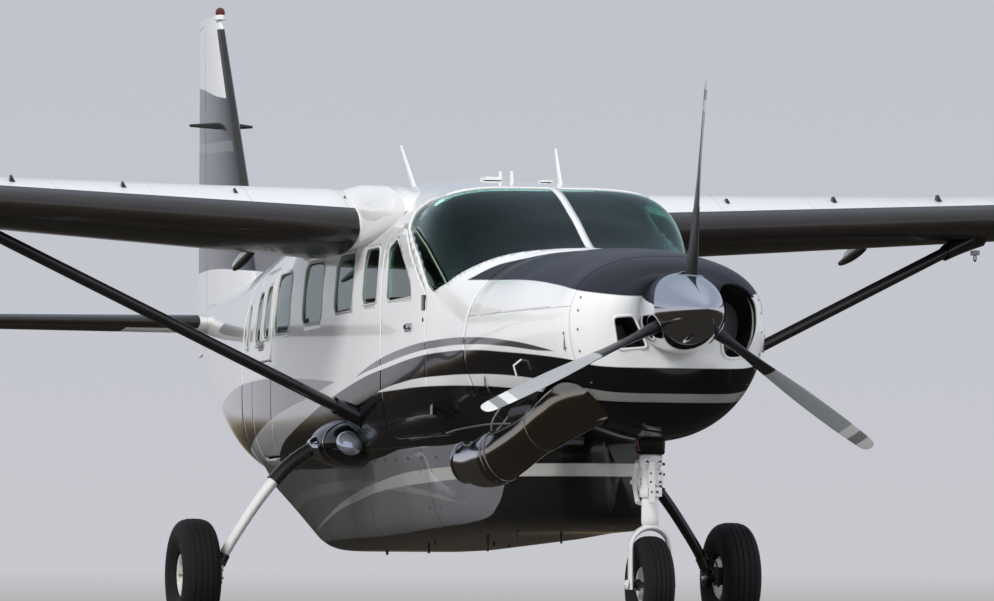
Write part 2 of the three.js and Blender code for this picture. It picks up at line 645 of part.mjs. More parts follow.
addPiece('tailplane', tailplane.fixed, paint.white);
const torqueTube = bar(hingeX(controlEndGap - elevatorInner), hingeX(elevatorInner + 20), 28, 28, 14);
addPiece('elevator_left', tailplane.moving[0].add(torqueTube), paint.white);
addPiece('elevator_right', tailplane.moving[1], paint.white);

const [rudderLow, rudderHigh] = [rudderHinge.low, rudderHinge.high].map(([station, height]) =>
  [0, alongAt(station), height]);
function finHalfThick(height) {
  const [low, high] = [finTable[0], finTable[2]];
  const share = (height - low.at) / (high.at - low.at);
  const mixed = (key) => low[key] + share * (high[key] - low[key]);
  const { low: [lowStation, lowHeight], high: [highStation, highHeight] } = rudderHinge;
  const hinge = lowStation + (height - lowHeight) / (highHeight - lowHeight) * (highStation - lowStation);
  const along = (hinge - mixed('leading')) / mixed('chord');
  return mixed('chord') * aerofoil(Math.acos(2 * along - 1), mixed('thick'), 0)[1];
}
const rudderHalves = [rudderHinge.low, rudderHinge.high].map(([, height]) => finHalfThick(height));
const fin = controlSurface(wholeFin(), rudderLow, rudderHigh, ...rudderHalves);
const rudderCove = bar(...stretched(rudderLow, rudderHigh, controlEndGap), ...rudderHalves.map((half) => half + coveGap));
const shelfTop = rudderHinge.low[1] - controlEndGap - 3 * seatGap;
const rudderShelf = box([70, 190, 90], [0, alongAt(12145), shelfTop - 45]);
addPiece('tail_cone', tailOuter.subtract(tailHollow).subtract(tailSlot).subtract(rudderCove).add(rudderShelf), paint.white);

const dorsal = sidePrism([[8800, 2560], [11400, 2300], [11400, 3300], [11150, 3120], [10750, 2860]], 10, -22, 22);
const ahead = (by) => [rudderLow, rudderHigh].map(([x, y, z]) => [x, y - by, z]);
const finInside = wholeFin(-foilSkin)
  .subtract(blockBehind(...ahead(sparGap), 400, 1500))
  .intersect(box([400, 4000, 2440], [0, alongAt(11700), 3220]));
const finBody = fin.fixed.add(dorsal).subtract(finInside).subtract(below(tailplaneHeight));
addPiece('fin', finBody.subtract(outerGrown).subtract(tailSlot), paint.white);
addPiece('rudder', fin.moving, paint.white);

for (const [name, side] of [['left', 1], ['right', -1]]) {
  const pieces = wingPieces(side);
  addPiece(`wing_${name}`, pieces.wing, paint.white);
  addPiece(`flap_${name}`, pieces.flap, paint.white);
  addPiece(`aileron_${name}`, pieces.aileron, paint.white);
  addPiece(`strut_${name}`, strut(side), paint.grey);
}

// The cowling: a nose bowl with its inlets, and an upper and a lower cover
const bowlEndStation = 780;
const cowlSkin = 28;
const cowlSplit = 1880;
const shaftHole = 130;
function frontPrism(corners, radius, fromStation, toStation) {
  const shape = new THREE.Shape();
  const points = corners.map(([x, height]) => new THREE.Vector2(x, height));
  points.forEach((p, i) => {
    const start = p.clone().add(points.at(i - 1).clone().sub(p).setLength(radius));
    const end = p.clone().add(points[(i + 1) % points.length].clone().sub(p).setLength(radius));
    if (i === 0) shape.moveTo(start.x, start.y);
    else shape.lineTo(start.x, start.y);
    shape.quadraticCurveTo(p.x, p.y, end.x, end.y);
  });
  const depth = toStation - fromStation;
  const geometry = new THREE.ExtrudeGeometry(shape, { depth, bevelEnabled: false, curveSegments: 3 });
  geometry.applyMatrix4(new THREE.Matrix4().set(1, 0, 0, 0, 0, 0, 1, alongAt(fromStation), 0, 1, 0, 0, 0, 0, 0, 1));
  return solidOf(geometry);
}
const airIntake = [[270, 1580], [420, 1590], [505, 1760], [495, 1930], [380, 2025], [240, 2015], [262, 1800]];
const oilInlet = [[-385, 1815], [-355, 1625], [-175, 1640], [-262, 1825]];
const bowl = bodyLoft(600, bowlEndStation - seatGap)
  .subtract(bodyLoft(660, bowlEndStation + 60, cowlSkin))
  .subtract(bar([0, alongAt(400), thrustHeight], [0, alongAt(900), thrustHeight], shaftHole, shaftHole, 28))
  .subtract(frontPrism(airIntake, 45, 500, 720))
  .subtract(frontPrism(oilInlet, 28, 500, 720));
addPiece('nose_bowl', bowl, paint.white);

// The engine, a plain block from behind the propeller to the firewall
const engineFrontStation = 720;
const engineSize = [480, firewallStation - seatGap - engineFrontStation, 480];
const engineCentre = [0, alongAt(engineFrontStation) + engineSize[1] / 2, 1790];
const engineSeat = box(engineSize.map((size) => size + 2 * seatGap), engineCentre);

// The exhaust: a wide oval pipe out of the right side of the lower cowl, turned aft and down
const exhaustWay = [
  [-190, 1100, 1620], [-430, 1210, 1440], [-620, 1500, 1270], [-722, 1850, 1128], [-785, 2230, 1028],
];
function exhaustPipe(halfHigh, halfWide) {
  const points = exhaustWay.map(([x, station, height]) => new THREE.Vector3(x, alongAt(station), height));
  const curve = new THREE.CatmullRomCurve3(points);
  const shape = new THREE.Shape();
  shape.absellipse(0, 0, halfHigh, halfWide, 0, 2 * PI);
  return solidOf(new THREE.ExtrudeGeometry(shape, { steps: 6, extrudePath: curve, curveSegments: 7 }));
}
const exhaustOuter = exhaustPipe(140, 115);
const exhaustBore = bar([-720, alongAt(1870), 1120], [-802, alongAt(2480), 962], 88, 96, 20);
addPiece('exhaust_duct', exhaustOuter.subtract(exhaustBore).subtract(engineSeat), paint.steel);

const cowlShell = bodyLoft(bowlEndStation, firewallStation - seatGap)
  .subtract(bodyLoft(bowlEndStation - 60, firewallStation + 60, cowlSkin));
const noseLegHole = bar([0, alongAt(noseAxleStation), 900], [0, alongAt(noseAxleStation), 1300], 100, 100, 24);
addPiece('cowl_upper', cowlShell.subtract(below(cowlSplit)), paint.black);
const lowerCowl = cowlShell.intersect(below(cowlSplit - seatGap));
addPiece('cowl_lower', lowerCowl.subtract(exhaustPipe(146, 121)).subtract(noseLegHole), paint.white);

addPiece('engine_block', box(engineSize, engineCentre), paint.casting);

// The propeller: spinner and back plate, hub, shaft and three blades on one axis
const hubStation = 378;
const bladeCount = 3;
const bladeRadius = 1345;
const firstBlade = 4.7;
const axisPoint = (station) => [0, alongAt(station), thrustHeight];
const spinnerOutline = [[0, 0], [45, 24], [95, 78], [155, 175], [205, 310], [232, 470], [236, 590]];
function spinnerLathe(inset, length) {
  const points = spinnerOutline.map(([r, along]) =>
    new THREE.Vector2(max(r - inset, 0), min(along + inset, length)));
  points.push(new THREE.Vector2(points.at(-1).x, length), new THREE.Vector2(0, length));
  return placed(new THREE.LatheGeometry(points, 24), axisPoint(0));
}
const bladeColumns = ['at', 'chord', 'thick', 'pitch'];
const bladeTable = tableOf(bladeColumns, [
  [60, 92, 90, 86],
  [210, 96, 84, 87],
  [330, 128, 56, 90],
  [520, 168, 34, 96],
  [800, 188, 24, 105],
  [1080, 176, 15, 110],
  [1270, 140, 9, 112],
  [bladeRadius, 62, 5, 112.6],
]);
const blade = loft(bladeTable, 12, (row, turn, radius) => {
  const wide = radius * row.chord / 2 * cos(turn);
  const deep = radius * row.thick / 2 * sin(turn);
  const pitch = rad(row.pitch);
  return [wide * cos(pitch) - deep * sin(pitch), -wide * sin(pitch) - deep * cos(pitch), row.at];
});
const bladeTurns = [...Array(bladeCount).keys()].map((k) => firstBlade + k * 360 / bladeCount);
const shaftEnd = engineFrontStation - seatGap;
const shaftRadius = 48;
let blades = bar(axisPoint(280), axisPoint(470), 105).add(bar(axisPoint(460), axisPoint(shaftEnd), shaftRadius, shaftRadius, 16));
let bladeHoles = null;
for (const turn of bladeTurns) {
  blades = blades.add(blade.rotate([0, turn, 0]).translate(axisPoint(hubStation)));
  const hole = bar([0, 0, 150], [0, 0, 400], 74, 74, 12).rotate([0, turn, 0]).translate(axisPoint(hubStation));
  bladeHoles = bladeHoles ? bladeHoles.add(hole) : hole;
}
addPiece('prop_blades', blades, paint.blade);
const spinner = spinnerLathe(0, 600).subtract(spinnerLathe(14, 588))
  .subtract(bar(axisPoint(560), axisPoint(620), shaftRadius + seatGap, shaftRadius + seatGap, 16)).subtract(bladeHoles);
addPiece('spinner', spinner, paint.polished);

// The cargo pod, hung under the belly: half width, bottom and top by station, wider at its top
const podColumns = ['at', 'halfWidth', 'bottom', 'top'];
const podTable = tableOf(podColumns, [
  [1700, 90, 700, 1070],
  [1740, 190, 645, 1080],
  [1900, 305, 615, 1100],
  [2200, 385, 606, 1130],
  [2600, 485, 605, 1150],
  [3100, 590, 603, 1150],
  [3600, 660, 592, 1150],
  [4100, 695, 576, 1150],
  [5000, 702, 554, 1150],
  [6000, 702, 530, 1150],
  [6450, 702, 528, 1150],
  [6800, 692, 570, 1150],
  [7850, 650, 900, 1160],
]);
const podWaist = 0.72;
const podSquare = 5;
const podFlare = 0.22;
const pod = loft(podTable, 28, (row, turn, radius) => {
  const across = cos(turn);
  const up = sin(turn);
  const waist = row.bottom + podWaist * (row.top - row.bottom);
  const height = up > 0 ? row.top - waist : waist - row.bottom;
  const z = waist + radius * height * sign(up) * abs(up) ** (2 / podSquare);
  const wide = 1 + podFlare * ((z - row.bottom) / (row.top - row.bottom) - podWaist);
  return [wide * radius * row.halfWidth * sign(across) * abs(across) ** (2 / podSquare), alongAt(row.at), z];
});
addPiece('cargo_pod', pod.subtract(outerGrown), paint.grey);

// Wheels: a tyre and a rim turned about a crosswise axis, standing on a flat of the tyre
function turnedAcross(profile, sides, centre) {
  const points = profile.map(([r, x]) => new THREE.Vector2(r / cos(PI / sides), x));
  const lathe = new THREE.LatheGeometry([...points, points[0]], sides, PI / sides);
  return placed(lathe.rotateZ(PI / 2), centre);
}
function tyreProfile(radius, halfWidth, bead) {
  const wall = radius - bead;
  return [
    [bead, 0.62 * halfWidth], [bead, -0.62 * halfWidth],
    [bead + 0.35 * wall, -0.97 * halfWidth], [bead + 0.65 * wall, -halfWidth],
    [bead + 0.9 * wall, -0.78 * halfWidth], [radius, -0.4 * halfWidth],
    [radius, 0.4 * halfWidth], [bead + 0.9 * wall, 0.78 * halfWidth],
    [bead + 0.65 * wall, halfWidth], [bead + 0.35 * wall, 0.97 * halfWidth],
  ];
}
function rimProfile(radius, halfWidth, bore) {
  return [
    [bore, -0.6 * halfWidth], [0.8 * radius, -0.4 * halfWidth], [0.86 * radius, -halfWidth],
    [radius, -halfWidth], [radius, halfWidth], [0.86 * radius, halfWidth],
    [0.8 * radius, 0.4 * halfWidth], [bore, 0.6 * halfWidth],
  ];
}
const mainWheel = { radius: 357, halfWidth: 122, bead: 140, axle: 30 };
const noseWheel = { radius: 284, halfWidth: 88, bead: 104, axle: 20 };
const bearingGap = 0.5;
const wheelSides = 24;
function wheel(names, size, centre) {
  const rimRadius = size.bead - seatGap;
  const tyre = turnedAcross(tyreProfile(size.radius, size.halfWidth, size.bead), wheelSides, centre);
  const rimOutline = rimProfile(rimRadius, 0.6 * size.halfWidth, size.axle + bearingGap);
  const rim = turnedAcross(rimOutline, wheelSides, centre);
  addPiece(names[0], tyre, paint.rubber);
  addPiece(names[1], rim, paint.rim);
}

// Main legs: sprung tubes out of the fuselage's sides, bent down to their axles
const legWay = [[770, 1200], [960, 1180], [1160, 1060], [1330, 870], [1490, 640], [1590, 470], [1635, 357]];
const legHalfAlong = 52;
const legHalfAcross = 36;
for (const [name, side] of [['left', 1], ['right', -1]]) {
  const y = alongAt(mainAxleStation);
  const points = legWay.map(([x, height]) => new THREE.Vector3(side * x, y, height));
  const section = new THREE.Shape();
  section.absellipse(0, 0, legHalfAcross, legHalfAlong, 0, 2 * PI);
  const path = new THREE.CatmullRomCurve3(points);
  const tube = solidOf(new THREE.ExtrudeGeometry(section, { steps: 8, extrudePath: path, curveSegments: 5 }));
  const axleAt = (x) => [side * x, y, mainWheel.radius];
  const axle = bar(axleAt(1600), axleAt(track / 2 + 60), mainWheel.axle, mainWheel.axle, wheelSides);
  const flange = bar(axleAt(1600), axleAt(1648), 62, 62, 14);
  addPiece(`main_leg_${name}`, joined(tube, axle, flange).subtract(outerGrown), paint.white);
  wheel([`main_tyre_${name}`, `main_rim_${name}`], mainWheel, axleAt(track / 2));
}

// The nose leg: a fixed upper housing, and a steered fork under it about the same upright axis
const legFoot = 1040;
const noseY = alongAt(noseAxleStation);
const engineUnderside = engineCentre[2] - engineSize[2] / 2;
const steerAt = (height) => [0, noseY, height];
addPiece('nose_leg', bar(steerAt(legFoot), steerAt(engineUnderside - seatGap), 92, 92, 24), paint.black);
const forkInner = noseWheel.halfWidth + 16;
const forkThick = 26;
const forkOuter = forkInner + forkThick;
const archTop = 2 * noseWheel.radius + 62;
const arch = new THREE.Shape();
arch.moveTo(forkOuter, noseWheel.radius - 40);
arch.lineTo(forkOuter, archTop - 55);
arch.quadraticCurveTo(forkOuter, archTop, forkOuter - 70, archTop);
arch.lineTo(70 - forkOuter, archTop);
arch.quadraticCurveTo(-forkOuter, archTop, -forkOuter, archTop - 55);
arch.lineTo(-forkOuter, noseWheel.radius - 40);
arch.lineTo(-forkInner, noseWheel.radius - 40);
arch.lineTo(-forkInner, archTop - 70);
arch.quadraticCurveTo(-forkInner, archTop - 38, 60 - forkInner, archTop - 38);
arch.lineTo(forkInner - 60, archTop - 38);
arch.quadraticCurveTo(forkInner, archTop - 38, forkInner, archTop - 70);
arch.lineTo(forkInner, noseWheel.radius - 40);
arch.closePath();
const archGeometry = new THREE.ExtrudeGeometry(arch, { depth: 84, bevelEnabled: false, curveSegments: 5 });
archGeometry.rotateX(PI / 2).translate(0, noseY + 42, 0);
const forkStem = bar(steerAt(archTop - 20), steerAt(legFoot - bearingGap), 50, 50, 24);
const noseAxle = bar([-forkOuter, noseY, noseWheel.radius], [forkOuter, noseY, noseWheel.radius], noseWheel.axle, noseWheel.axle, wheelSides);
addPiece('nose_fork', joined(solidOf(archGeometry), forkStem, noseAxle), paint.white);
wheel(['nose_tyre', 'nose_rim'], noseWheel, [0, noseY, noseWheel.radius]);

// Inside: the instrument panel against the firewall, two crew seats and three rows for passengers
const firewallInside = firewallStation + 30 + seatGap;
const panelEnd = 2990;
const deck = sidePrism([[firewallInside, 2000], [panelEnd, 2070], [panelEnd, 2110], [firewallInside, 2040]], 0, -590, 590);
const face = sidePrism([[2860, 1640], [2920, 1640], [panelEnd - 20, 2080], [2910, 2080]], 0, -580, 580);
const pedestal = sidePrism([[2560, floorHeight + seatGap], [2960, floorHeight + seatGap], [2960, 1700], [2760, 1700]], 0, -120, 120);
addPiece('instrument_panel', joined(deck, face, pedestal), paint.trim);

const seatWidth = 470;
function seat(x, station) {
  const y = alongAt(station);
  const floor = floorHeight + seatGap;
  return joined(
    box([seatWidth - 90, 380, 250], [x, y, floor + 125]),
    box([seatWidth, 480, 120], [x, y, floor + 300]),
    box([seatWidth, 110, 680], [x, y + 270, floor + 640], [-0.18, 0, 0]),
  );
}
const crewSeatStation = 3350;
const seatAcross = 380;
addPiece('crew_seat_left', seat(seatAcross, crewSeatStation), paint.leather);
addPiece('crew_seat_right', seat(-seatAcross, crewSeatStation), paint.leather);
const rowStations = [4300, 5200, 6100];
const railHeight = 18;
let rows = null;
for (const x of [-seatAcross, seatAcross]) {
  for (const station of rowStations) {
    const next = seat(x, station);
    rows = rows ? rows.add(next) : next;
  }
  rows = rows.add(box([60, 2300, railHeight], [x, alongAt(5200), floorHeight + seatGap + railHeight / 2]));
}
const crossRail = box([2 * seatAcross, 60, railHeight], [0, alongAt(5200), floorHeight + seatGap + railHeight / 2]);
addPiece('cabin_seats', rows.add(crossRail), paint.leather);

export default group;
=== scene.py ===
import math
import bmesh
import bpy
import numpy as np
from mathutils import Matrix, Vector


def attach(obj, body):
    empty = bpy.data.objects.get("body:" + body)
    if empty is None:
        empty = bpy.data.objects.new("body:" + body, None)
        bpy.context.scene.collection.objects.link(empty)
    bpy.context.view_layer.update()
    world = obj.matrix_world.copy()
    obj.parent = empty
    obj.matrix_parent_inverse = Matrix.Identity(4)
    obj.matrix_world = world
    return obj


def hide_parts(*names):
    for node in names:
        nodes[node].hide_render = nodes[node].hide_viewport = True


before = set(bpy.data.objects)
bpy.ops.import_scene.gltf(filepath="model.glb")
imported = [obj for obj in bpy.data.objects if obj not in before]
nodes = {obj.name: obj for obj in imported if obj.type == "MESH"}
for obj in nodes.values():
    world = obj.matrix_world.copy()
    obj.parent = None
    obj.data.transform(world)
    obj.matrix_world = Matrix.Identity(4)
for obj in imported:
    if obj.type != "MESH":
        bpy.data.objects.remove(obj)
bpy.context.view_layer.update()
tau = 2 * math.pi
mm = 0.001
noseTip = 6.345  # a station, in metres aft of the spinner's tip, is y plus this
hands = (("left", 1), ("right", -1))


# shader maths: a socket that adds, multiplies and compares like a number
class Wire:
    def __init__(self, tree, socket):
        self.tree, self.socket = tree, socket

    def maths(self, operation, *others, clamp=False):
        node = self.tree.nodes.new("ShaderNodeMath")
        node.operation, node.use_clamp = operation, clamp
        for place, value in zip(node.inputs, others):
            if isinstance(value, Wire):
                self.tree.links.new(value.socket, place)
            else:
                place.default_value = value
        return Wire(self.tree, node.outputs[0])

    def __add__(self, other): return self.maths("ADD", self, other)
    def __radd__(self, other): return self.maths("ADD", other, self)
    def __sub__(self, other): return self.maths("SUBTRACT", self, other)
    def __rsub__(self, other): return self.maths("SUBTRACT", other, self)
    def __mul__(self, other): return self.maths("MULTIPLY", self, other)
    def __rmul__(self, other): return self.maths("MULTIPLY", other, self)
    def __truediv__(self, other): return self.maths("DIVIDE", self, other)
    def __abs__(self): return self.maths("ABSOLUTE", self)
    def below(self, edge, soft=0.003): return 1.0 - self.above(edge, soft)
    def least(self, other): return self.maths("MINIMUM", self, other)
    def most(self, other): return self.maths("MAXIMUM", self, other)
    def sine(self): return self.maths("SINE", self)

    # 0 below an edge, 1 above it, with a soft step between
    def above(self, edge, soft=0.003):
        share = (self - edge) / (2 * soft) + 0.5
        return share.maths("ADD", share, 0.0, clamp=True)

    # the signed distance from the nearest of evenly spaced places
    def repeat(self, pitch):
        share = self * (1 / pitch)
        return (share.maths("FLOORED_MODULO", share, 1.0) - 0.5) * pitch

    # the root of the sum of both squares
    def hypot(self, other):
        total = self * self + other * other
        return total.maths("SQRT", total)


# one material: its tree, its shader and the method that adds every other node
class Finish:
    def __init__(self, name, **constants):
        self.material = bpy.data.materials.new(name)
        self.material.use_nodes = True
        self.tree = self.material.node_tree
        self.tree.nodes.clear()
        self.shader = self.tree.nodes.new("ShaderNodeBsdfPrincipled")
        out = self.tree.nodes.new("ShaderNodeOutputMaterial")
        self.tree.links.new(self.shader.outputs[0], out.inputs[0])
        for key, value in constants.items():
            self.set(key, value)
        self.place = self.add("ShaderNodeTexCoord").outputs["Object"]
        self.x, self.y, self.z = self.split(self.place)
        self.station = self.y + noseTip
        self.out = abs(self.x)

    def add(self, kind, settings=None, sockets=None):
        node = self.tree.nodes.new(kind)
        for key, value in (settings or {}).items():
            if key == "stops":
                ramp = node.color_ramp
                while len(ramp.elements) < len(value):
                    ramp.elements.new(0.5)
                for element, (at, colour) in zip(ramp.elements, value):
                    element.position, element.color = at, (*colour, 1)
            elif key == "points":
                curve = node.mapping.curves[0]
                while len(curve.points) < len(value):
                    curve.points.new(0.5, 0.5)
                for point, (at, high) in zip(curve.points, value):
                    point.location = (at, high)
                node.mapping.update()
            else:
                setattr(node, key, value)
        for key, value in (sockets or {}).items():
            self.feed(node.inputs[key], value)
        return node

    def feed(self, socket, value):
        if isinstance(value, Wire):
            self.tree.links.new(value.socket, socket)
        elif isinstance(value, bpy.types.NodeSocket):
            self.tree.links.new(value, socket)
        elif isinstance(value, (tuple, list)) and socket.type == "RGBA":
            socket.default_value = (*value[:3], 1)
        else:
            socket.default_value = value

    def set(self, key, value):
        self.feed(self.shader.inputs[key], value)

    # a vector socket's three parts
    def split(self, socket):
        node = self.add("ShaderNodeSeparateXYZ", {}, {0: socket})
        return [Wire(self.tree, part) for part in node.outputs]

    def noise(self, scale, detail=3.0, stretch=None):
        place = self.place
        if stretch:
            place = self.add("ShaderNodeMapping", {}, {"Vector": place, "Scale": stretch}).outputs[0]
        sockets = {"Vector": place, "Scale": scale, "Detail": detail, "Roughness": 0.55}
        found = self.add("ShaderNodeTexNoise", {}, sockets)
        return Wire(self.tree, found.outputs[0])

    def mix(self, share, first, second):
        node = self.add("ShaderNodeMix", {"data_type": "RGBA"}, {0: share, 6: first, 7: second})
        return node.outputs[2]

    # a table's height over a run, read by a curve: rows of (at, height)
    def curve(self, along, rows, low=0.0, high=4.0):
        start, end = rows[0][0], rows[-1][0]
        points = [((at - start) / (end - start), (value - low) / (high - low)) for at, value in rows]
        share = (along - start) / (end - start)
        found = self.add("ShaderNodeFloatCurve", {"points": points}, {1: share})
        return Wire(self.tree, found.outputs[0]) * (high - low) + low

    def bump(self, height, depth, strength=1.0):
        node = self.add("ShaderNodeBump", {}, {"Height": height, "Distance": depth, "Strength": strength})
        self.tree.links.new(node.outputs[0], self.shader.inputs["Normal"])


# a smooth table: a value at a place, on a cubic through the rows whose slopes join the neighbours
def smoothRows(rows, at):
    rows = np.asarray(rows, float)
    at = np.asarray(at, float)
    places, values = rows[:, 0], rows[:, 1:]
    last = len(rows) - 1
    k = np.clip(np.searchsorted(places, at, side="left") - 1, 0, last - 1)
    low, high = np.maximum(np.arange(last + 1) - 1, 0), np.minimum(np.arange(last + 1) + 1, last)
    slopes = (values[high] - values[low]) / (places[high] - places[low])[:, None]
    step = (places[k + 1] - places[k])[..., None]
    t = np.clip((at - places[k])[..., None] / step, 0, 1)
    rise = values[k + 1] - values[k]
    s0, s1 = slopes[k] * step, slopes[k + 1] * step
    return values[k] + t * (s0 + t * (3 * rise - 2 * s0 - s1 + t * (s0 + s1 - 2 * rise)))


# straight lines between a table's rows
def straightRows(rows, at):
    rows = np.asarray(rows, float)
    return np.stack([np.interp(at, rows[:, 0], rows[:, c]) for c in range(1, rows.shape[1])], -1)


# triangles of a grid of points (rows, columns, 3); closed joins the last column to the first
def gridFaces(rows, columns, closed=False, closedRows=False):
    i, j = np.meshgrid(np.arange(rows if closedRows else rows - 1), np.arange(columns if closed else columns - 1),
                       indexing="ij")
    i2, j2 = (i + 1) % rows, (j + 1) % columns
    a, b, c, d = i * columns + j, i * columns + j2, i2 * columns + j2, i2 * columns + j
    return np.concatenate([np.stack([a, b, c], -1).reshape(-1, 3), np.stack([a, c, d], -1).reshape(-1, 3)])


# points and triangles of a grid, the form that every part takes
def grid(points, closed=False, closedRows=False):
    points = np.asarray(points, float)
    return points.reshape(-1, 3), gridFaces(points.shape[0], points.shape[1], closed, closedRows)


def together(*parts):
    verts, faces, n = [], [], 0
    for v, f in parts:
        verts.append(v)
        faces.append(f + n)
        n += len(v)
    return np.concatenate(verts), np.concatenate(faces)


def turned(part):
    return part[0], part[1][:, ::-1]


# the part of a surface where a field is above zero, its edge laid exactly on the zero line
def clip(part, field, snap=0.06):
    verts, faces = part
    value = np.array(field(verts), float)
    edges = np.concatenate([faces[:, [0, 1]], faces[:, [1, 2]], faces[:, [2, 0]]])
    va, vb = value[edges[:, 0]], value[edges[:, 1]]
    crossing = va * vb < 0
    share = np.abs(va) / np.maximum(np.abs(va) + np.abs(vb), 1e-12)
    near = crossing & (share < snap)
    value[edges[near, 0]] = 0
    near = crossing & (share > 1 - snap)
    value[edges[near, 1]] = 0
    signs = np.sign(value[faces])
    kept = faces[(signs >= 0).all(1) & (signs > 0).any(1)]
    mixed = faces[(signs > 0).any(1) & (signs < 0).any(1)]
    if len(mixed) == 0:
        return tidyPart(verts, kept)
    made, low = [], len(verts)
    keys = np.sort(np.concatenate([mixed[:, [0, 1]], mixed[:, [1, 2]], mixed[:, [2, 0]]]), axis=1)
    keys = np.unique(keys[value[keys[:, 0]] * value[keys[:, 1]] < 0], axis=0)
    t = value[keys[:, 0]] / (value[keys[:, 0]] - value[keys[:, 1]])
    cuts = verts[keys[:, 0]] + t[:, None] * (verts[keys[:, 1]] - verts[keys[:, 0]])
    codes = keys[:, 0] * np.int64(len(verts)) + keys[:, 1]
    def cutOf(a, b):
        pair = np.sort(np.stack([a, b], -1), -1)
        return low + np.searchsorted(codes, pair[:, 0] * np.int64(len(verts)) + pair[:, 1])
    for turn in range(3):  # each mixed triangle is turned so that its odd corner comes first
        tri = np.roll(mixed, -turn, axis=1)
        s = np.sign(value[tri])
        one = tri[(s[:, 0] > 0) & (s[:, 1] < 0) & (s[:, 2] < 0)]
        made.append(np.stack([one[:, 0], cutOf(one[:, 0], one[:, 1]), cutOf(one[:, 0], one[:, 2])], -1))
        two = tri[(s[:, 0] < 0) & (s[:, 1] > 0) & (s[:, 2] > 0)]
        p, q = cutOf(two[:, 0], two[:, 1]), cutOf(two[:, 0], two[:, 2])
        made.append(np.stack([p, two[:, 1], two[:, 2]], -1))
        made.append(np.stack([p, two[:, 2], q], -1))
        flat = tri[(s[:, 0] == 0) & (s[:, 1] > 0) & (s[:, 2] < 0)]
        made.append(np.stack([flat[:, 0], flat[:, 1], cutOf(flat[:, 1], flat[:, 2])], -1))
        flat = tri[(s[:, 0] == 0) & (s[:, 1] < 0) & (s[:, 2] > 0)]
        made.append(np.stack([flat[:, 0], cutOf(flat[:, 1], flat[:, 2]), flat[:, 2]], -1))
    return tidyPart(np.concatenate([verts, cuts]), np.concatenate([kept, *made]))


# a part without its degenerate triangles and unused points
def tidyPart(verts, faces):
    faces = faces[(faces[:, 0] != faces[:, 1]) & (faces[:, 1] != faces[:, 2]) & (faces[:, 0] != faces[:, 2])]
    used, back = np.unique(faces.reshape(-1), return_inverse=True)
    return verts[used], back.reshape(-1, 3)


# the closed outline of corners, each rounded by a quadratic curve that starts a radius away from it
def roundedOutline(corners, radius, grow=0.0, steps=6):
    p = np.asarray(corners, float)
    area = 0.5 * np.sum(p[:, 0] * np.roll(p[:, 1], -1) - np.roll(p[:, 0], -1) * p[:, 1])
    run = np.roll(p, -1, 0) - p
    run /= np.linalg.norm(run, axis=1)[:, None]
    out = np.stack([run[:, 1], -run[:, 0]], -1) * (1 if area > 0 else -1)
    before, after = np.roll(out, 1, 0), out
    p = p + (before + after) * (grow / (1 + np.sum(before * after, 1)))[:, None]
    if radius <= 0:
        return p
    lead, follow = np.roll(p, 1, 0) - p, np.roll(p, -1, 0) - p
    reach = radius + grow
    start = p + lead / np.linalg.norm(lead, axis=1)[:, None] * reach
    end = p + follow / np.linalg.norm(follow, axis=1)[:, None] * reach
    t = np.linspace(0, 1, steps)[None, :, None]
    return (start[:, None] * (1 - t) ** 2 + p[:, None] * 2 * t * (1 - t) + end[:, None] * t ** 2).reshape(-1, 2)


# signed distance to a closed outline, above zero inside it: the nearest edge's distance, signed by crossings
def insideBy(outline, points):
    a, b = outline, np.roll(outline, -1, 0)
    best = np.full(len(points), np.inf)
    crossings = np.zeros(len(points), int)
    for p, q in zip(a, b):
        run = q - p
        length = run @ run
        if length < 1e-14:
            continue
        t = np.clip(((points - p) @ run) / length, 0, 1)
        best = np.minimum(best, np.linalg.norm(points - p - t[:, None] * run, axis=1))
        hit = (p[1] > points[:, 1]) != (q[1] > points[:, 1])
        cross = p[0] + (points[:, 1] - p[1]) / np.where(abs(run[1]) < 1e-12, 1e-12, run[1]) * run[0]
        crossings += hit & (points[:, 0] < cross)
    return np.where(crossings % 2 == 1, best, -best)


# a side's field for an outline of (station, height): above zero inside it on that side
def sideField(outline, side):
    def field(verts):
        value = insideBy(outline, np.stack([verts[:, 1] + noseTip, verts[:, 2]], -1))
        return np.where(verts[:, 0] * side > 0.25, value, -1.0) if side else value
    return field


def outsideOf(field):
    return lambda verts: -field(verts)


# an object in the scene, from points and triangles
def newObject(name, verts, faces):
    mesh = bpy.data.meshes.new(name)
    mesh.from_pydata(np.asarray(verts).tolist(), [], faces if isinstance(faces, list) else faces.tolist())
    made = bpy.data.objects.new(name, mesh)
    bpy.context.scene.collection.objects.link(made)
    return made, mesh


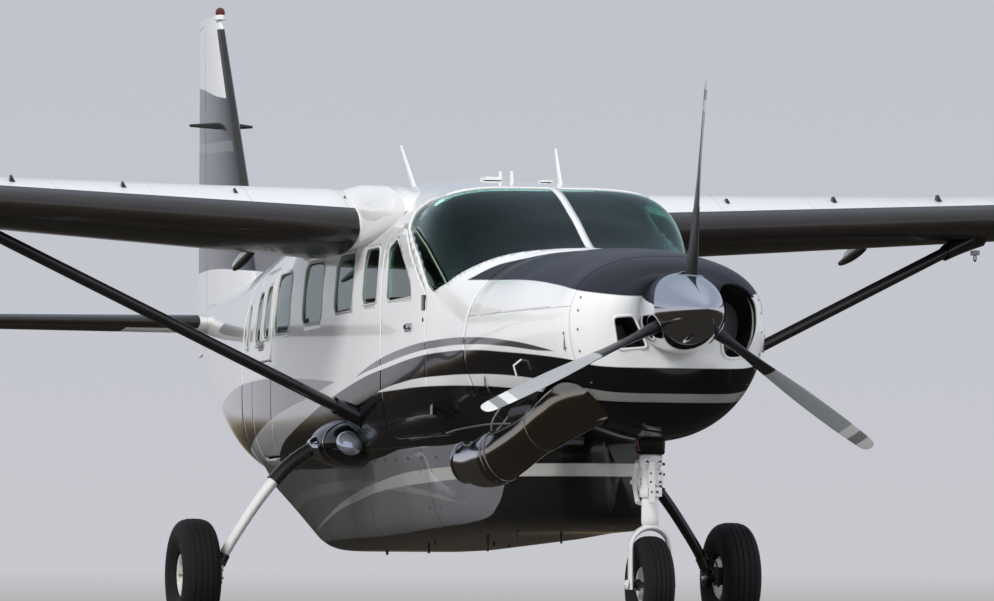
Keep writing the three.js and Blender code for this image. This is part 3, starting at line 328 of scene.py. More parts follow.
# a mesh piece from a part or a list of parts: welded, smooth under an angle, with an optional wall inwards
def makePiece(name, part, finish, body="airframe", replaces=(), wall=0.0, smooth=40, bevel=0.0):
    piece, mesh = newObject(name, *(together(*part) if isinstance(part, list) else part))
    mesh.update()
    work = bmesh.new()
    work.from_mesh(mesh)
    bmesh.ops.remove_doubles(work, verts=work.verts, dist=1e-5)
    bmesh.ops.dissolve_degenerate(work, edges=work.edges, dist=1e-6)
    work.to_mesh(mesh)
    work.free()
    mesh.polygons.foreach_set("use_smooth", np.ones(len(mesh.polygons), bool))
    mesh.set_sharp_from_angle(angle=math.radians(smooth))
    mesh.materials.append(finish.material)
    if wall:
        thick = piece.modifiers.new("wall", "SOLIDIFY")
        thick.thickness, thick.offset, thick.use_even_offset = wall, -1, True
        thick.use_rim = True
        thick.thickness_clamp = 0
    if bevel:
        edge = piece.modifiers.new("edge", "BEVEL")
        edge.width, edge.segments, edge.limit_method, edge.angle_limit = bevel, 2, "ANGLE", math.radians(35)
    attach(piece, body)
    if replaces:
        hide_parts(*replaces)


# the two directions across a path at each point, turned as little as they can be
def pathFrames(path, up=(0, 0, 1)):
    path = np.asarray(path, float)
    run = np.gradient(path, axis=0)
    run /= np.linalg.norm(run, axis=1)[:, None]
    up = np.asarray(up, float)
    frames = []
    lift = up - run[0] * (up @ run[0])
    if np.linalg.norm(lift) < 1e-3:
        lift = np.array([0.0, 1.0, 0.0]) - run[0] * run[0][1]
    for direction in run:
        lift = lift - direction * (lift @ direction)
        lift = lift / np.linalg.norm(lift)
        frames.append((np.cross(direction, lift), lift))
    return np.array([f[0] for f in frames]), np.array([f[1] for f in frames])


# a tube along a path: each ring is the radius times (cos t, flat * sin t) across the path
def tube(path, radius, sides=16, up=(0, 0, 1), flat=1.0, caps=True):
    path = np.asarray(path, float)
    across, lift = pathFrames(path, up)
    t = np.arange(sides) / sides * tau
    r = np.broadcast_to(np.asarray(radius, float), (len(path),))[:, None, None]
    spread = np.cos(t)[:, None] * across[:, None] + flat * np.sin(t)[:, None] * lift[:, None]
    rings = path[:, None] + r * spread
    verts, faces = grid(rings, closed=True)
    faces = faces[:, ::-1]
    if caps:
        end = (len(path) - 1) * sides
        verts = np.concatenate([verts, path[:1], path[-1:]])
        j = np.arange(sides)
        j2 = (j + 1) % sides
        first = np.stack([j, j2, np.full(sides, end + sides)], -1)
        last = np.stack([end + j2, end + j, np.full(sides, end + sides + 1)], -1)
        faces = np.concatenate([faces, first, last])
    return verts, faces


# a tube round a ring of points, closed on itself
def hoop(ring, radius, sides=8, up=(0, 0, 1)):
    return tube(np.concatenate([ring, ring[:2]]), radius, sides, up=up, caps=False)


# a smooth path through points: a cubic by arc length
def smoothPath(points, count):
    points = np.asarray(points, float)
    length = np.concatenate([[0], np.cumsum(np.linalg.norm(np.diff(points, axis=0), axis=1))])
    return smoothRows(np.column_stack([length, points]), np.linspace(0, length[-1], count))


# a ring drawn together to its middle, which closes the end of a grid
def fan(ring, turnedIn=False):
    rows = [np.broadcast_to(ring.mean(0), ring.shape), ring]
    return grid(np.stack(rows if turnedIn else rows[::-1]), closed=True)


# a profile of (radius, along) turned about an axis through a point
def lathe(profile, centre, axis, sides=32, closed=False):
    profile = np.asarray(profile, float)
    axis = np.asarray(axis, float) / np.linalg.norm(axis)
    side = np.cross(axis, [0, 0, 1.0])
    if np.linalg.norm(side) < 1e-3:
        side = np.array([1.0, 0, 0])
    side = side / np.linalg.norm(side)
    other = np.cross(axis, side)
    t = np.arange(sides) / sides * tau
    ring = np.cos(t)[:, None] * side + np.sin(t)[:, None] * other
    points = np.asarray(centre, float) + profile[:, None, :1] * ring[None] + profile[:, None, 1:2] * axis
    return grid(points, closed=True, closedRows=closed)


# a box, whose edges the piece can bevel
def block(size, centre, turn=None):
    s = np.array([[x, y, z] for x in (-0.5, 0.5) for y in (-0.5, 0.5) for z in (-0.5, 0.5)]) * size
    if turn is not None:
        s = s @ np.asarray(turn, float).T
    f = np.array([[0, 1, 3], [0, 3, 2], [4, 6, 7], [4, 7, 5], [0, 4, 5], [0, 5, 1], [2, 3, 7], [2, 7, 6], [0, 2, 6],
                  [0, 6, 4], [1, 5, 7], [1, 7, 3]])
    return s + np.asarray(centre, float), f


# the matrix of a turn about x, y or z
def spun(angle, axis):
    c, s = math.cos(angle), math.sin(angle)
    return {"x": np.array([[1, 0, 0], [0, c, -s], [0, s, c]]), "y": np.array([[c, 0, s], [0, 1, 0], [-s, 0, c]]),
            "z": np.array([[c, -s, 0], [s, c, 0], [0, 0, 1]])}[axis]


def mirrored(part):
    return part[0] * np.array([-1.0, 1, 1]), part[1][:, ::-1]


print("tools ready")
# paint and other finishes; every curve is a table of (station, height) in metres
livery = {
    "white": (0.83, 0.82, 0.80), "grey": (0.105, 0.105, 0.118), "black": (0.006, 0.006, 0.0065),
    "silver": (0.50, 0.49, 0.47), "antiGlare": (0.020, 0.020, 0.027), "cream": (0.72, 0.69, 0.62),
    "blackTop": [(0.5, 1.520), (0.66, 1.535), (0.75, 1.562), (0.85, 1.580), (1.16, 1.613), (1.59, 1.646), (2.11, 1.677),
                 (2.83, 1.686), (3.26, 1.671), (3.78, 1.637), (4.33, 1.599), (4.73, 1.555), (5.18, 1.497),
                 (5.51, 1.448), (5.90, 1.379), (6.30, 1.308), (6.64, 1.242), (6.85, 1.187), (7.05, 1.124), (7.20, 1.03),
                 (7.32, 0.88)],
    "lineTop": [(0.5, 1.521), (0.66, 1.537), (0.84, 1.615), (1.16, 1.640), (1.59, 1.680), (2.16, 1.712), (2.83, 1.718),
                (3.27, 1.701), (3.78, 1.668), (4.33, 1.625), (4.62, 1.600), (4.90, 1.590), (5.15, 1.584), (5.51, 1.548),
                (5.88, 1.506), (6.39, 1.461), (6.90, 1.407), (7.34, 1.344), (7.83, 1.272), (8.46, 1.190), (9.0, 1.10)],
    "greyTop": [(0.84, 1.600), (1.15, 1.662), (1.58, 1.716), (2.08, 1.751), (2.84, 1.764), (3.52, 1.735), (4.00, 1.694),
                (4.33, 1.649), (4.62, 1.595), (4.80, 1.55)],
    "aftTop": [(5.00, 1.560), (5.15, 1.586), (5.51, 1.612), (6.13, 1.643), (6.81, 1.667), (7.63, 1.675), (8.59, 1.650),
               (9.18, 1.612), (10.20, 1.50), (11.0, 1.38)],
    "stripeTop": [(0.5, 1.374), (0.64, 1.380), (0.76, 1.403), (0.97, 1.434), (1.07, 1.453), (1.38, 1.488),
                  (1.79, 1.520), (2.32, 1.539), (2.62, 1.544), (3.26, 1.541), (3.52, 1.530), (3.89, 1.508),
                  (4.08, 1.488), (4.2, 1.47)],
    "stripeLow": [(0.5, 1.328), (0.64, 1.331), (0.82, 1.350), (0.96, 1.369), (1.26, 1.396), (1.44, 1.416),
                  (1.83, 1.448), (2.33, 1.473), (2.83, 1.488), (3.26, 1.492), (3.67, 1.489), (4.08, 1.488),
                  (4.2, 1.488)],
    "glareLow": [(0.5, 1.915), (0.62, 1.945), (0.71, 1.962), (1.05, 2.013), (1.48, 2.061), (2.13, 2.095), (2.51, 2.112),
                 (2.7, 2.118)],
    "glareAft": [(0.0, 2.232), (0.22, 2.236), (0.35, 2.250), (0.46, 2.292), (0.54, 2.340), (0.67, 2.428), (0.73, 2.512),
                 (0.80, 2.62)],
}
podLivery = {
    "whiteTop": [(1.6, 1.000), (1.9, 1.004), (2.5, 1.014), (3.0, 1.013), (3.6, 1.004), (4.17, 0.983), (4.73, 0.943),
                 (5.2, 0.903), (5.7, 0.838), (6.1, 0.770), (6.6, 0.665), (6.9, 0.60)],
    "whiteLow": [(1.6, 0.924), (1.9, 0.929), (2.5, 0.938), (3.0, 0.938), (3.6, 0.924), (4.17, 0.908), (4.78, 0.884),
                 (5.27, 0.842), (5.78, 0.793), (6.15, 0.738), (6.6, 0.658), (6.9, 0.60)],
    "lightTop": [(3.2, 0.780), (3.6, 0.855), (4.12, 0.910), (4.61, 0.944), (5.15, 0.962), (5.55, 0.968), (6.2, 0.955),
                 (6.9, 0.905), (7.5, 0.82)],
    "lightLow": [(3.2, 0.785), (3.6, 0.825), (4.16, 0.873), (4.65, 0.898), (5.2, 0.906), (5.6, 0.904), (6.2, 0.886),
                 (6.9, 0.835), (7.5, 0.74)],
    "blackTop": [(2.3, 1.20), (2.46, 1.05), (2.53, 0.97), (2.6, 0.88), (2.75, 0.76), (2.92, 0.700), (3.2, 0.672),
                 (3.6, 0.656), (4.8, 0.616), (6.0, 0.602), (6.8, 0.597), (7.0, 0.62), (7.9, 0.95)],
}


# the surface of a paint: a slow mottle and a fine orange peel
def peel(finish, depth=0.0006):
    finish.bump(finish.noise(95, 2) * 0.35 + finish.noise(3.2, 2) * 0.65, depth, 0.35)


# white above black with stripes between, each edge a curve along the fuselage
def flyingPaint():
    f = Finish("aircraftPaint", **{"Coat Roughness": 0.04, "IOR": 1.5})
    s, z, out = f.station, f.z, f.out
    rows = livery
    def curveOf(key): return f.curve(s, rows[key], 0.8, 2.2)
    blackEdge, lineEdge, greyEdge, aftEdge = (curveOf(key) for key in ("blackTop", "lineTop", "greyTop", "aftTop"))
    stripeHigh, stripeLow = curveOf("stripeTop"), curveOf("stripeLow")
    black = z.below(blackEdge) * s.below(7.32, 0.01)
    foreGrey = z.above(lineEdge) * z.below(greyEdge) * s.above(0.845, 0.005) * s.below(4.66, 0.01)
    aftGrey = z.above(lineEdge) * z.below(aftEdge) * s.above(5.1, 0.01)
    aftGrey = aftGrey + s.above(8.98, 0.003) * z.below(aftEdge) * z.below(lineEdge)
    stripe = z.below(stripeHigh) * z.above(stripeLow) * s.below(4.10, 0.01)
    glareHigh = f.curve(s, rows["glareLow"], 1.8, 2.2)
    glareAft = f.curve(out, rows["glareAft"], 2.0, 2.8)
    glare = z.above(glareHigh) * s.below(glareAft) * s.below(2.66, 0.01)
    mottle = f.noise(0.9, 3) * 0.05 + f.noise(14, 3) * 0.02
    white = f.mix(mottle, rows["white"], rows["cream"])
    flake = f.noise(900, 1)
    grey = f.mix(flake, tuple(c * 0.80 for c in rows["grey"]), tuple(c * 1.25 for c in rows["grey"]))
    colour = f.mix(foreGrey.most(aftGrey), white, grey)
    colour = f.mix(black, colour, rows["black"])
    bare = f.mix(s.below(1.25, 0.02), rows["white"], rows["silver"])
    colour = f.mix(stripe, colour, bare)
    colour = f.mix(glare, colour, rows["antiGlare"])
    # thin lap joints of the skins, faint against the paint
    lap = abs(z - 1.145).below(0.0018, 0.0012) * s.above(2.3, 0.002) * s.below(8.05, 0.002)
    for at in (7.72, 8.46, 9.42, 10.42, 11.40):
        lap = lap.most(abs(s - at).below(0.0018, 0.0012))
    colour = f.mix(lap * 0.45, colour, (0.10, 0.10, 0.10))
    f.set("Base Color", colour)
    f.set("Metallic", (foreGrey.most(aftGrey) * 0.45 + stripe * s.below(1.25, 0.02) * 0.6) * (1.0 - glare))
    f.set("Roughness", 0.16 + glare * 0.26 + f.noise(7, 3) * 0.05 + lap * 0.3)
    f.set("Coat Weight", 0.9 - glare * 0.82 - black * 0.35)
    f.set("Specular IOR Level", 0.5 - black * 0.25)
    peel(f)
    return f


# grey with two light bands over a black nose and underside, with seams and fasteners
def podPaint():
    f = Finish("podPaint", **{"Coat Roughness": 0.05, "IOR": 1.5})
    s, z = f.station, f.z
    def edge(key, high=1.1): return f.curve(s, podLivery[key], 0.5, high)
    whiteBand = z.below(edge("whiteTop")) * z.above(edge("whiteLow")) * s.below(6.85, 0.01)
    lightBand = z.below(edge("lightTop")) * z.above(edge("lightLow")) * s.above(3.25, 0.02) * s.below(7.45, 0.02)
    blackLow = z.below(edge("blackTop", 1.3)).most(s.below(2.46, 0.004))
    flake = f.noise(900, 1)
    grey = f.mix(flake, (0.30, 0.304, 0.325), (0.34, 0.344, 0.366))
    colour = f.mix(lightBand, grey, (0.46, 0.455, 0.45))
    colour = f.mix(blackLow, colour, livery["black"])
    silver = f.mix(s.below(2.9, 0.03), livery["white"], livery["silver"])
    colour = f.mix(whiteBand, colour, silver)
    # seams across the side, and a row of fasteners beside some of them
    marks, spots = s * 0.0, z.repeat(0.22)
    for at in (3.66, 5.05, 6.32):
        marks = marks.most(abs(s - at).below(0.003, 0.0015) * f.out.above(0.3, 0.001))
    for at in (3.56, 3.76, 6.22, 2.62):
        marks = marks.most((s - at).hypot(spots).below(0.011, 0.002) * f.out.above(0.42, 0.001))
    colour = f.mix(marks * 0.75, colour, (0.01, 0.01, 0.012))
    # a mottled brownish tint in a band near the pod's bottom
    bottomBrownMottle = f.noise(5.5, 4)
    low = z.below(0.66, 0.03) * z.above(0.56, 0.02) * bottomBrownMottle
    colour = f.mix(low * 0.12, colour, (0.36, 0.32, 0.26))
    f.set("Base Color", colour)
    f.set("Metallic", 0.45 * (1.0 - blackLow))
    f.set("Roughness", 0.17 + f.noise(6, 3) * 0.06 + marks * 0.3)
    f.set("Coat Weight", 0.85)
    peel(f)
    return f


# a dark glossy paint with the wing's own panel lines; lines run spanwise and fore and aft
def wingPaint(name):
    f = Finish(name, **{"Coat Roughness": 0.05})
    up = f.split(f.add("ShaderNodeNewGeometry").outputs["Normal"])[2]
    lower = up.below(-0.02, 0.03) * f.out.above(0.884, 0.002)
    grime = f.noise(2.2, 4, stretch=(0.4, 2.0, 1.0))
    dark = f.mix(grime, (0.014, 0.012, 0.011), (0.026, 0.023, 0.020))
    white = f.mix(f.noise(1.2, 3) * 0.12, livery["white"], livery["cream"])
    rib = abs(f.out.repeat(0.62))
    rivets = f.y.repeat(0.045).hypot(rib).below(0.0045, 0.0015)
    lines = rib.below(0.0022, 0.001).most(rivets) * 0.35
    f.set("Base Color", f.mix(lines, f.mix(lower, white, dark), (0.12, 0.12, 0.12)))
    f.set("Roughness", 0.22 + lower * 0.10 + grime * 0.08)
    f.set("Coat Weight", 0.7 - lower * 0.45)
    f.set("Specular IOR Level", 0.35)
    peel(f, 0.0005)
    return f


# any other paint: one colour, dulled in patches by a grime colour
def plainPaint(name, colour, rough=0.22, metal=0.0, coat=0.6, grime=0.12, grimeColour=(0.25, 0.22, 0.19), depth=0.0005,
               scale=6.0):
    f = Finish(name, **{"Coat Roughness": 0.06})
    dirt = f.noise(scale, 4)
    f.set("Base Color", f.mix((dirt.maths("MULTIPLY_ADD", dirt, 2.2, -0.9, clamp=True)) * grime, colour, grimeColour))
    f.set("Roughness", rough + dirt * 0.10)
    f.set("Metallic", metal)
    f.set("Coat Weight", coat)
    peel(f, depth)
    return f


# rubber with dust in its grain
def rubber(name, colour=(0.013, 0.012, 0.012), rough=0.55, dust=0.25, gloss=0.0):
    f = Finish(name, **{"Coat Roughness": 0.18})
    grain = f.noise(38, 5)
    f.set("Base Color", f.mix(grain * dust, colour, (0.085, 0.075, 0.062)))
    f.set("Roughness", rough + grain * 0.2)
    f.set("Coat Weight", gloss)
    f.bump(f.noise(420, 3), 0.0008, 0.35)
    return f


# the inflating boot on a leading edge: dark rubber with fine spanwise tubes
def bootRubber():
    f = Finish("bootRubber", **{"Coat Roughness": 0.08})
    grain = f.noise(7, 4, stretch=(0.3, 2.0, 2.0))
    f.set("Base Color", f.mix(grain, (0.016, 0.013, 0.011), (0.034, 0.028, 0.024)))
    f.set("Roughness", 0.20 + grain * 0.10)
    f.set("Coat Weight", 0.55)
    tubes = (f.z * 210.0).sine() * 0.5 + 0.5
    f.bump(tubes * 0.5 + f.noise(60, 3) * 0.5, 0.0006, 0.25)
    return f


# bare metal, with a heat tint where asked
def bareMetal(name, colour, rough=0.10, grainy=0.10, heat=0.0):
    f = Finish(name)
    grain = f.noise(70, 4)
    cloud = f.noise(6.5, 4)
    tone = f.mix(grain * 0.35, colour, tuple(c * 0.72 for c in colour))
    if heat:
        tone = f.mix((cloud.maths("MULTIPLY_ADD", cloud, 2.6, -1.0, clamp=True)) * heat, tone, (0.42, 0.27, 0.12))
    f.set("Base Color", tone)
    f.set("Metallic", 1.0)
    f.set("Roughness", rough + grain * grainy + cloud * 0.05)
    f.bump(grain, 0.0003, 0.2)
    return f


# clear glass between two shades, with another colour towards the sides where asked
def tintedGlass(name, shades, index=1.45, side=None):
    f = Finish(name, **{"IOR": index, "Transmission Weight": 1.0, "Coat Weight": 0.0})
    cloud = f.noise(1.4, 2)
    tint = f.mix(cloud, *shades)
    if side:
        tint = f.mix(f.out.above(0.70, 0.03), tint, side)
    f.set("Base Color", tint)
    f.set("Roughness", 0.012 + cloud * 0.006)
    return f


# woven cloth: a product of two fine waves
def cabinCloth(name, colour, weave=520.0):
    f = Finish(name, **{"Sheen Weight": 0.25, "Sheen Roughness": 0.5})
    threads = (f.x * weave).sine() * (f.z * weave).sine() * 0.5 + (f.y * weave).sine() * 0.25 + 0.5
    f.set("Base Color", f.mix(threads * 0.5 + f.noise(30, 4) * 0.4, colour, tuple(c * 0.6 for c in colour)))
    f.set("Roughness", 0.82 + f.noise(12, 3) * 0.1)
    f.bump(threads, 0.0006, 0.5)
    return f


# leather: rounded cells in its grain
def leather(name, colour):
    f = Finish(name, **{"Coat Roughness": 0.35})
    cells = f.add("ShaderNodeTexVoronoi", {"feature": "SMOOTH_F1"},
                  {"Vector": f.place, "Scale": 320.0, "Smoothness": 0.6})
    grain = Wire(f.tree, cells.outputs["Distance"])
    f.set("Base Color", f.mix(f.noise(9, 4), colour, tuple(c * 0.72 for c in colour)))
    f.set("Roughness", 0.42 + grain * 0.25)
    f.set("Coat Weight", 0.08)
    f.bump(grain + f.noise(24, 4) * 0.6, 0.0010, 0.55)
    return f


# the exhaust's steel: bronze towards the engine, bright at the nozzle, with some soot at the mouth
def exhaustSteel():
    f = Finish("exhaustSteel")
    s = f.station
    grain = f.noise(30, 3, stretch=(1, 0.15, 1))
    cloud = f.noise(3.0, 3)
    bronze = s.below(1.75, 0.35) * (cloud * 0.4 + 0.3)
    tone = f.mix(grain * 0.4, (0.50, 0.48, 0.455), (0.34, 0.32, 0.30))
    tone = f.mix(bronze.least(0.6), tone, (0.30, 0.225, 0.13))
    tone = f.mix(s.above(1.845, 0.006), tone, (0.72, 0.72, 0.75))
    soot = s.above(2.15, 0.04) * cloud
    tone = f.mix(soot * 0.25, tone, (0.10, 0.09, 0.08))
    f.set("Base Color", tone)
    f.set("Metallic", 1.0)
    f.set("Roughness", 0.07 + grain * 0.07 + cloud * 0.05)
    f.bump(grain * 0.2 + cloud, 0.0006, 0.25)
    return f


# a blade's paint, by the distance from the hub and by the side that the surface faces
def bladePaint():
    f = Finish("bladePaint", **{"Coat Roughness": 0.2})
    across, up = f.x, f.z - 1.84
    reach = across.hypot(up)
    normal = f.split(f.add("ShaderNodeTexCoord").outputs["Normal"])
    facing = (normal[0] * up - normal[2] * across) / reach
    tip = reach.above(1.275, 0.003)
    greyBand = reach.above(1.214, 0.003) * reach.below(1.275, 0.003)
    whiteBand = reach.above(1.152, 0.003) * reach.below(1.214, 0.003)
    worn = f.noise(26, 4)
    dark = f.mix(worn, (0.008, 0.008, 0.009), (0.020, 0.020, 0.021))
    pale = f.mix(worn * 0.4, (0.36, 0.37, 0.375), (0.28, 0.29, 0.295))
    # the cambered side is pale grey with a banded tip; the flat side is dark with a thin pale tip
    face = facing.above(0.05, 0.05)
    white = (0.66, 0.66, 0.64)
    camber = f.mix(tip.most(whiteBand), pale, white)
    camber = f.mix(greyBand, camber, (0.22, 0.225, 0.225))
    flat = f.mix(reach.above(1.325, 0.003), dark, (0.45, 0.45, 0.43))
    colour = f.mix(face, flat, camber)
    f.set("Base Color", colour)
    f.set("Roughness", 0.34 + worn * 0.15)
    f.set("Coat Weight", 0.25)
    f.bump(f.noise(160, 3), 0.0005, 0.3)
    return f


# the fin's dark paint with a thin band, between white above and below
def tailPaint():
    f = Finish("finPaint", **{"Coat Roughness": 0.05})
    s, z = f.station, f.z
    edge = f.curve(s, [(10.3, 3.80), (11.2, 3.86), (11.88, 3.931), (12.2, 3.985), (12.53, 4.035),
                       (12.8, 4.06)], 3.0, 4.6)
    bandTop = [(10.6, 3.53), (11.55, 3.585), (12.0, 3.595), (12.35, 3.612), (12.6, 3.64), (12.8, 3.68)]
    bandLow = [(10.6, 3.45), (11.55, 3.505), (12.0, 3.52), (12.35, 3.54), (12.6, 3.565), (12.8, 3.60)]
    band = z.below(f.curve(s, bandTop, 3.0, 4.6)) * z.above(f.curve(s, bandLow, 3.0, 4.6))
    flake = f.noise(900, 1)
    dark = f.mix(flake, (0.028, 0.029, 0.036), (0.046, 0.047, 0.058))
    pale = f.mix(f.noise(1.5, 3) * 0.10, livery["white"], livery["cream"])
    low = z.below(edge) * z.above(f.curve(s, [(10.3, 2.55), (11.2, 2.62), (12.0, 2.66), (12.8, 2.66)], 2.0, 3.0))
    colour = f.mix(low, pale, dark)
    colour = f.mix(band * low, colour, (0.15, 0.15, 0.16))
    f.set("Base Color", colour)
    f.set("Metallic", low * 0.25)
    f.set("Roughness", 0.2 + f.noise(7, 3) * 0.06)
    f.set("Coat Weight", 0.8 - low * 0.35)
    peel(f)
    return f


aircraftPaint = flyingPaint()
podFinish = podPaint()
finFinish = tailPaint()
wingFinish = wingPaint("wingPaint")
tailplaneFinish = wingPaint("tailplanePaint")
glossBlack = plainPaint("glossBlack", (0.004, 0.004, 0.0045), 0.12, coat=0.6, grime=0.04)
satinBlack = plainPaint("satinBlack", (0.014, 0.014, 0.015), 0.38, coat=0.15)
glossWhite = plainPaint("glossWhite", livery["white"], 0.2, coat=0.7)
# near-black for the inlet ducts: painted shade deep inside the inlets
inletShadeBlack = plainPaint("inletShadeBlack", (0.012, 0.012, 0.013), 0.6, coat=0.0)
strutFinish = plainPaint("strutPaint", (0.012, 0.0105, 0.010), 0.16, coat=0.75, grimeColour=(0.06, 0.05, 0.04))
bootFinish = bootRubber()
tyreFinish = rubber("tyreRubber", (0.007, 0.0065, 0.006), 0.6, 0.12)
sealRubber = rubber("sealRubber", (0.60, 0.60, 0.58), 0.4, 0.1)
chrome = bareMetal("polishedMetal", (0.78, 0.79, 0.82), 0.045, grainy=0.03)
steel = bareMetal("plainSteel", (0.55, 0.54, 0.52), 0.24, heat=0.15)
darkSteel = bareMetal("darkSteel", (0.16, 0.155, 0.15), 0.34)
exhaustFinish = exhaustSteel()
bladeFinish = bladePaint()
glassFinish = tintedGlass("tintedGlass", ((0.44, 0.68, 0.62), (0.50, 0.74, 0.68)))
shieldFinish = tintedGlass("shieldGlass", ((0.15, 0.34, 0.30), (0.19, 0.40, 0.35)), 1.30, (0.42, 0.78, 0.62))
trimPlastic = plainPaint("trimPlastic", (0.035, 0.035, 0.038), 0.55, coat=0.0, depth=0.001, scale=40)
linerCloth = cabinCloth("headliner", (0.42, 0.42, 0.40))
carpet = cabinCloth("carpet", (0.075, 0.08, 0.085), 380)
seatLeather = leather("seatLeather", (0.22, 0.185, 0.15))
rimFinish = plainPaint("rimPaint", (0.72, 0.70, 0.66), 0.3, coat=0.3, grime=0.5,
                       grimeColour=(0.16, 0.13, 0.10), scale=18)
castingFinish = bareMetal("engineCasting", (0.13, 0.13, 0.135), 0.5)
redGlass = plainPaint("redLens", (0.45, 0.01, 0.01), 0.08, coat=0.9, grime=0.0)
greenGlass = plainPaint("greenLens", (0.01, 0.25, 0.06), 0.08, coat=0.9, grime=0.0)
clearGlass = plainPaint("clearLens", (0.75, 0.77, 0.78), 0.06, coat=0.9, grime=0.0)
redCloth = cabinCloth("redRibbon", (0.42, 0.02, 0.03), 900)
# the leg cap's pale bluish silver is a painted reflection of the sky on its polished metal
capSkyReflection = plainPaint("capSkyReflection", (0.62, 0.66, 0.75), 0.14, metal=0.8, coat=0.6, grime=0.05)
dividerGreen = plainPaint("dividerGreen", (0.20, 0.26, 0.17), 0.3, coat=0.3)
screenGlow = plainPaint("screenGlass", (0.012, 0.018, 0.022), 0.08, coat=0.9, grime=0.0)
print("finishes ready")
# camera at floor level, ahead of the right wing, as far off as a long lens needs
view = {"place": (-11.406, -42.634, 0.048), "aim": (0.0, -0.345), "yaw": -0.557, "pitch": 2.763, "roll": 0.205,
        "pixels": 6724.0, "width": 994}
cameraData = bpy.data.cameras.new("camera")
camera = bpy.data.objects.new("camera", cameraData)
bpy.context.scene.collection.objects.link(camera)
bearing = math.atan2(view["aim"][1] - view["place"][1], view["aim"][0] - view["place"][0]) + math.radians(view["yaw"])
rise = math.radians(view["pitch"])
ahead = np.array([math.cos(bearing) * math.cos(rise), math.sin(bearing) * math.cos(rise), math.sin(rise)])
right = np.array([math.sin(bearing), -math.cos(bearing), 0.0])
above = np.cross(right, ahead)
roll = math.radians(view["roll"])
right, above = right * math.cos(roll) + above * math.sin(roll), above * math.cos(roll) - right * math.sin(roll)
pose = np.eye(4)
pose[:3] = np.column_stack([right, above, -ahead, view["place"]])
camera.matrix_world = Matrix(pose.tolist())
cameraData.sensor_width = 36.0
cameraData.lens = 36.0 * view["pixels"] / view["width"]
cameraData.clip_end = 400
bpy.context.scene.camera = camera

# the fuselage's sections: station, half width, bottom, top, waist, roof and belly squareness
bodyRows = np.array([
    [600, 410, 1330, 2070, 1810, 2.2, 2.2], [650, 490, 1250, 2125, 1800, 2.3, 2.1],
    [760, 580, 1172, 2170, 1790, 2.4, 2.05], [1000, 650, 1118, 2222, 1770, 2.1, 2.0],
    [1500, 735, 1122, 2264, 1740, 2.3, 1.95], [2050, 792, 1106, 2280, 1700, 2.4, 1.95],
    [2315, 808, 1085, 2302, 1680, 2.5, 2.0], [2700, 820, 1035, 2520, 1660, 3, 2.1],
    [3100, 851, 980, 2708, 1650, 5, 2.3], [3500, 863, 950, 2750, 1650, 4.6, 2.5],
    [3900, 867, 950, 2798, 1650, 4.4, 2.8], [4450, 870, 950, 2840, 1650, 4.1, 3.3], [5400, 868, 950, 2830, 1650, 4, 4],
    [6400, 862, 950, 2780, 1650, 4, 4], [7000, 845, 955, 2720, 1650, 3.6, 3.8], [7600, 812, 970, 2670, 1660, 3.2, 3.4],
    [8300, 745, 1010, 2620, 1680, 2.9, 3], [9400, 590, 1150, 2560, 1760, 2.6, 2.6],
    [10400, 430, 1400, 2500, 1880, 2.4, 2.4], [11400, 260, 1690, 2440, 2020, 2.3, 2.3],
    [12180, 105, 1960, 2400, 2180, 2.1, 2.1],
]) * np.array([mm] * 5 + [1, 1])


# a section's points: directions round the waist, each run out to the superellipse |x/w|^n + |z/h|^n = 1
def bodyPoints(stations, turns, inset=0.0):
    w, low, high, waist, roof, belly = (smoothRows(bodyRows, stations)[:, k, None] for k in range(6))
    c, s = np.cos(turns)[None, :], np.sin(turns)[None, :]
    power = np.where(s > 0, roof, belly)
    height = np.where(s > 0, high - waist, waist - low) - inset
    reach = (np.abs(c) ** power + np.abs(s) ** power) ** (1 / power)
    x = (w - inset) * c / reach
    z = waist + height * s / reach
    return np.stack([x, np.broadcast_to(stations[:, None] - noseTip, x.shape), z], -1)


# above zero outside the fuselage, about in metres
def outsideBody(verts, grow=0.0):
    w, low, high, waist, roof, belly = smoothRows(bodyRows, verts[:, 1] + noseTip).T
    up = verts[:, 2] > waist
    power, height = np.where(up, roof, belly), np.where(up, high - waist, waist - low) + grow
    rho = ((np.abs(verts[:, 0]) / (w + grow)) ** power + (np.abs(verts[:, 2] - waist) / height) ** power) ** (1 / power)
    return (rho - 1) * np.minimum(w, height)


# the section's half width at a height: the same curve solved for x
def halfWidthAt(station, height, inset=0.0):
    w, low, high, waist, roof, belly = smoothRows(bodyRows, np.atleast_1d(station)).T
    up = height > waist
    power, reach = np.where(up, roof, belly), np.where(up, high - waist, waist - low) - inset
    return (w - inset) * np.maximum(1 - (np.abs(height - waist) / reach) ** power, 0) ** (1 / power)


# directions round a section, and a stretch of the fuselage's skin through them
turns = -np.arange(176) / 176 * tau + 1e-4
def skinOf(start, end, step=0.03, inset=0.0):
    stations = np.linspace(start, end, max(int(round((end - start) / step)), 2) + 1)
    return grid(bodyPoints(stations, turns, inset), closed=True)


def millimetres(*rows):
    return np.array(rows, float) * mm


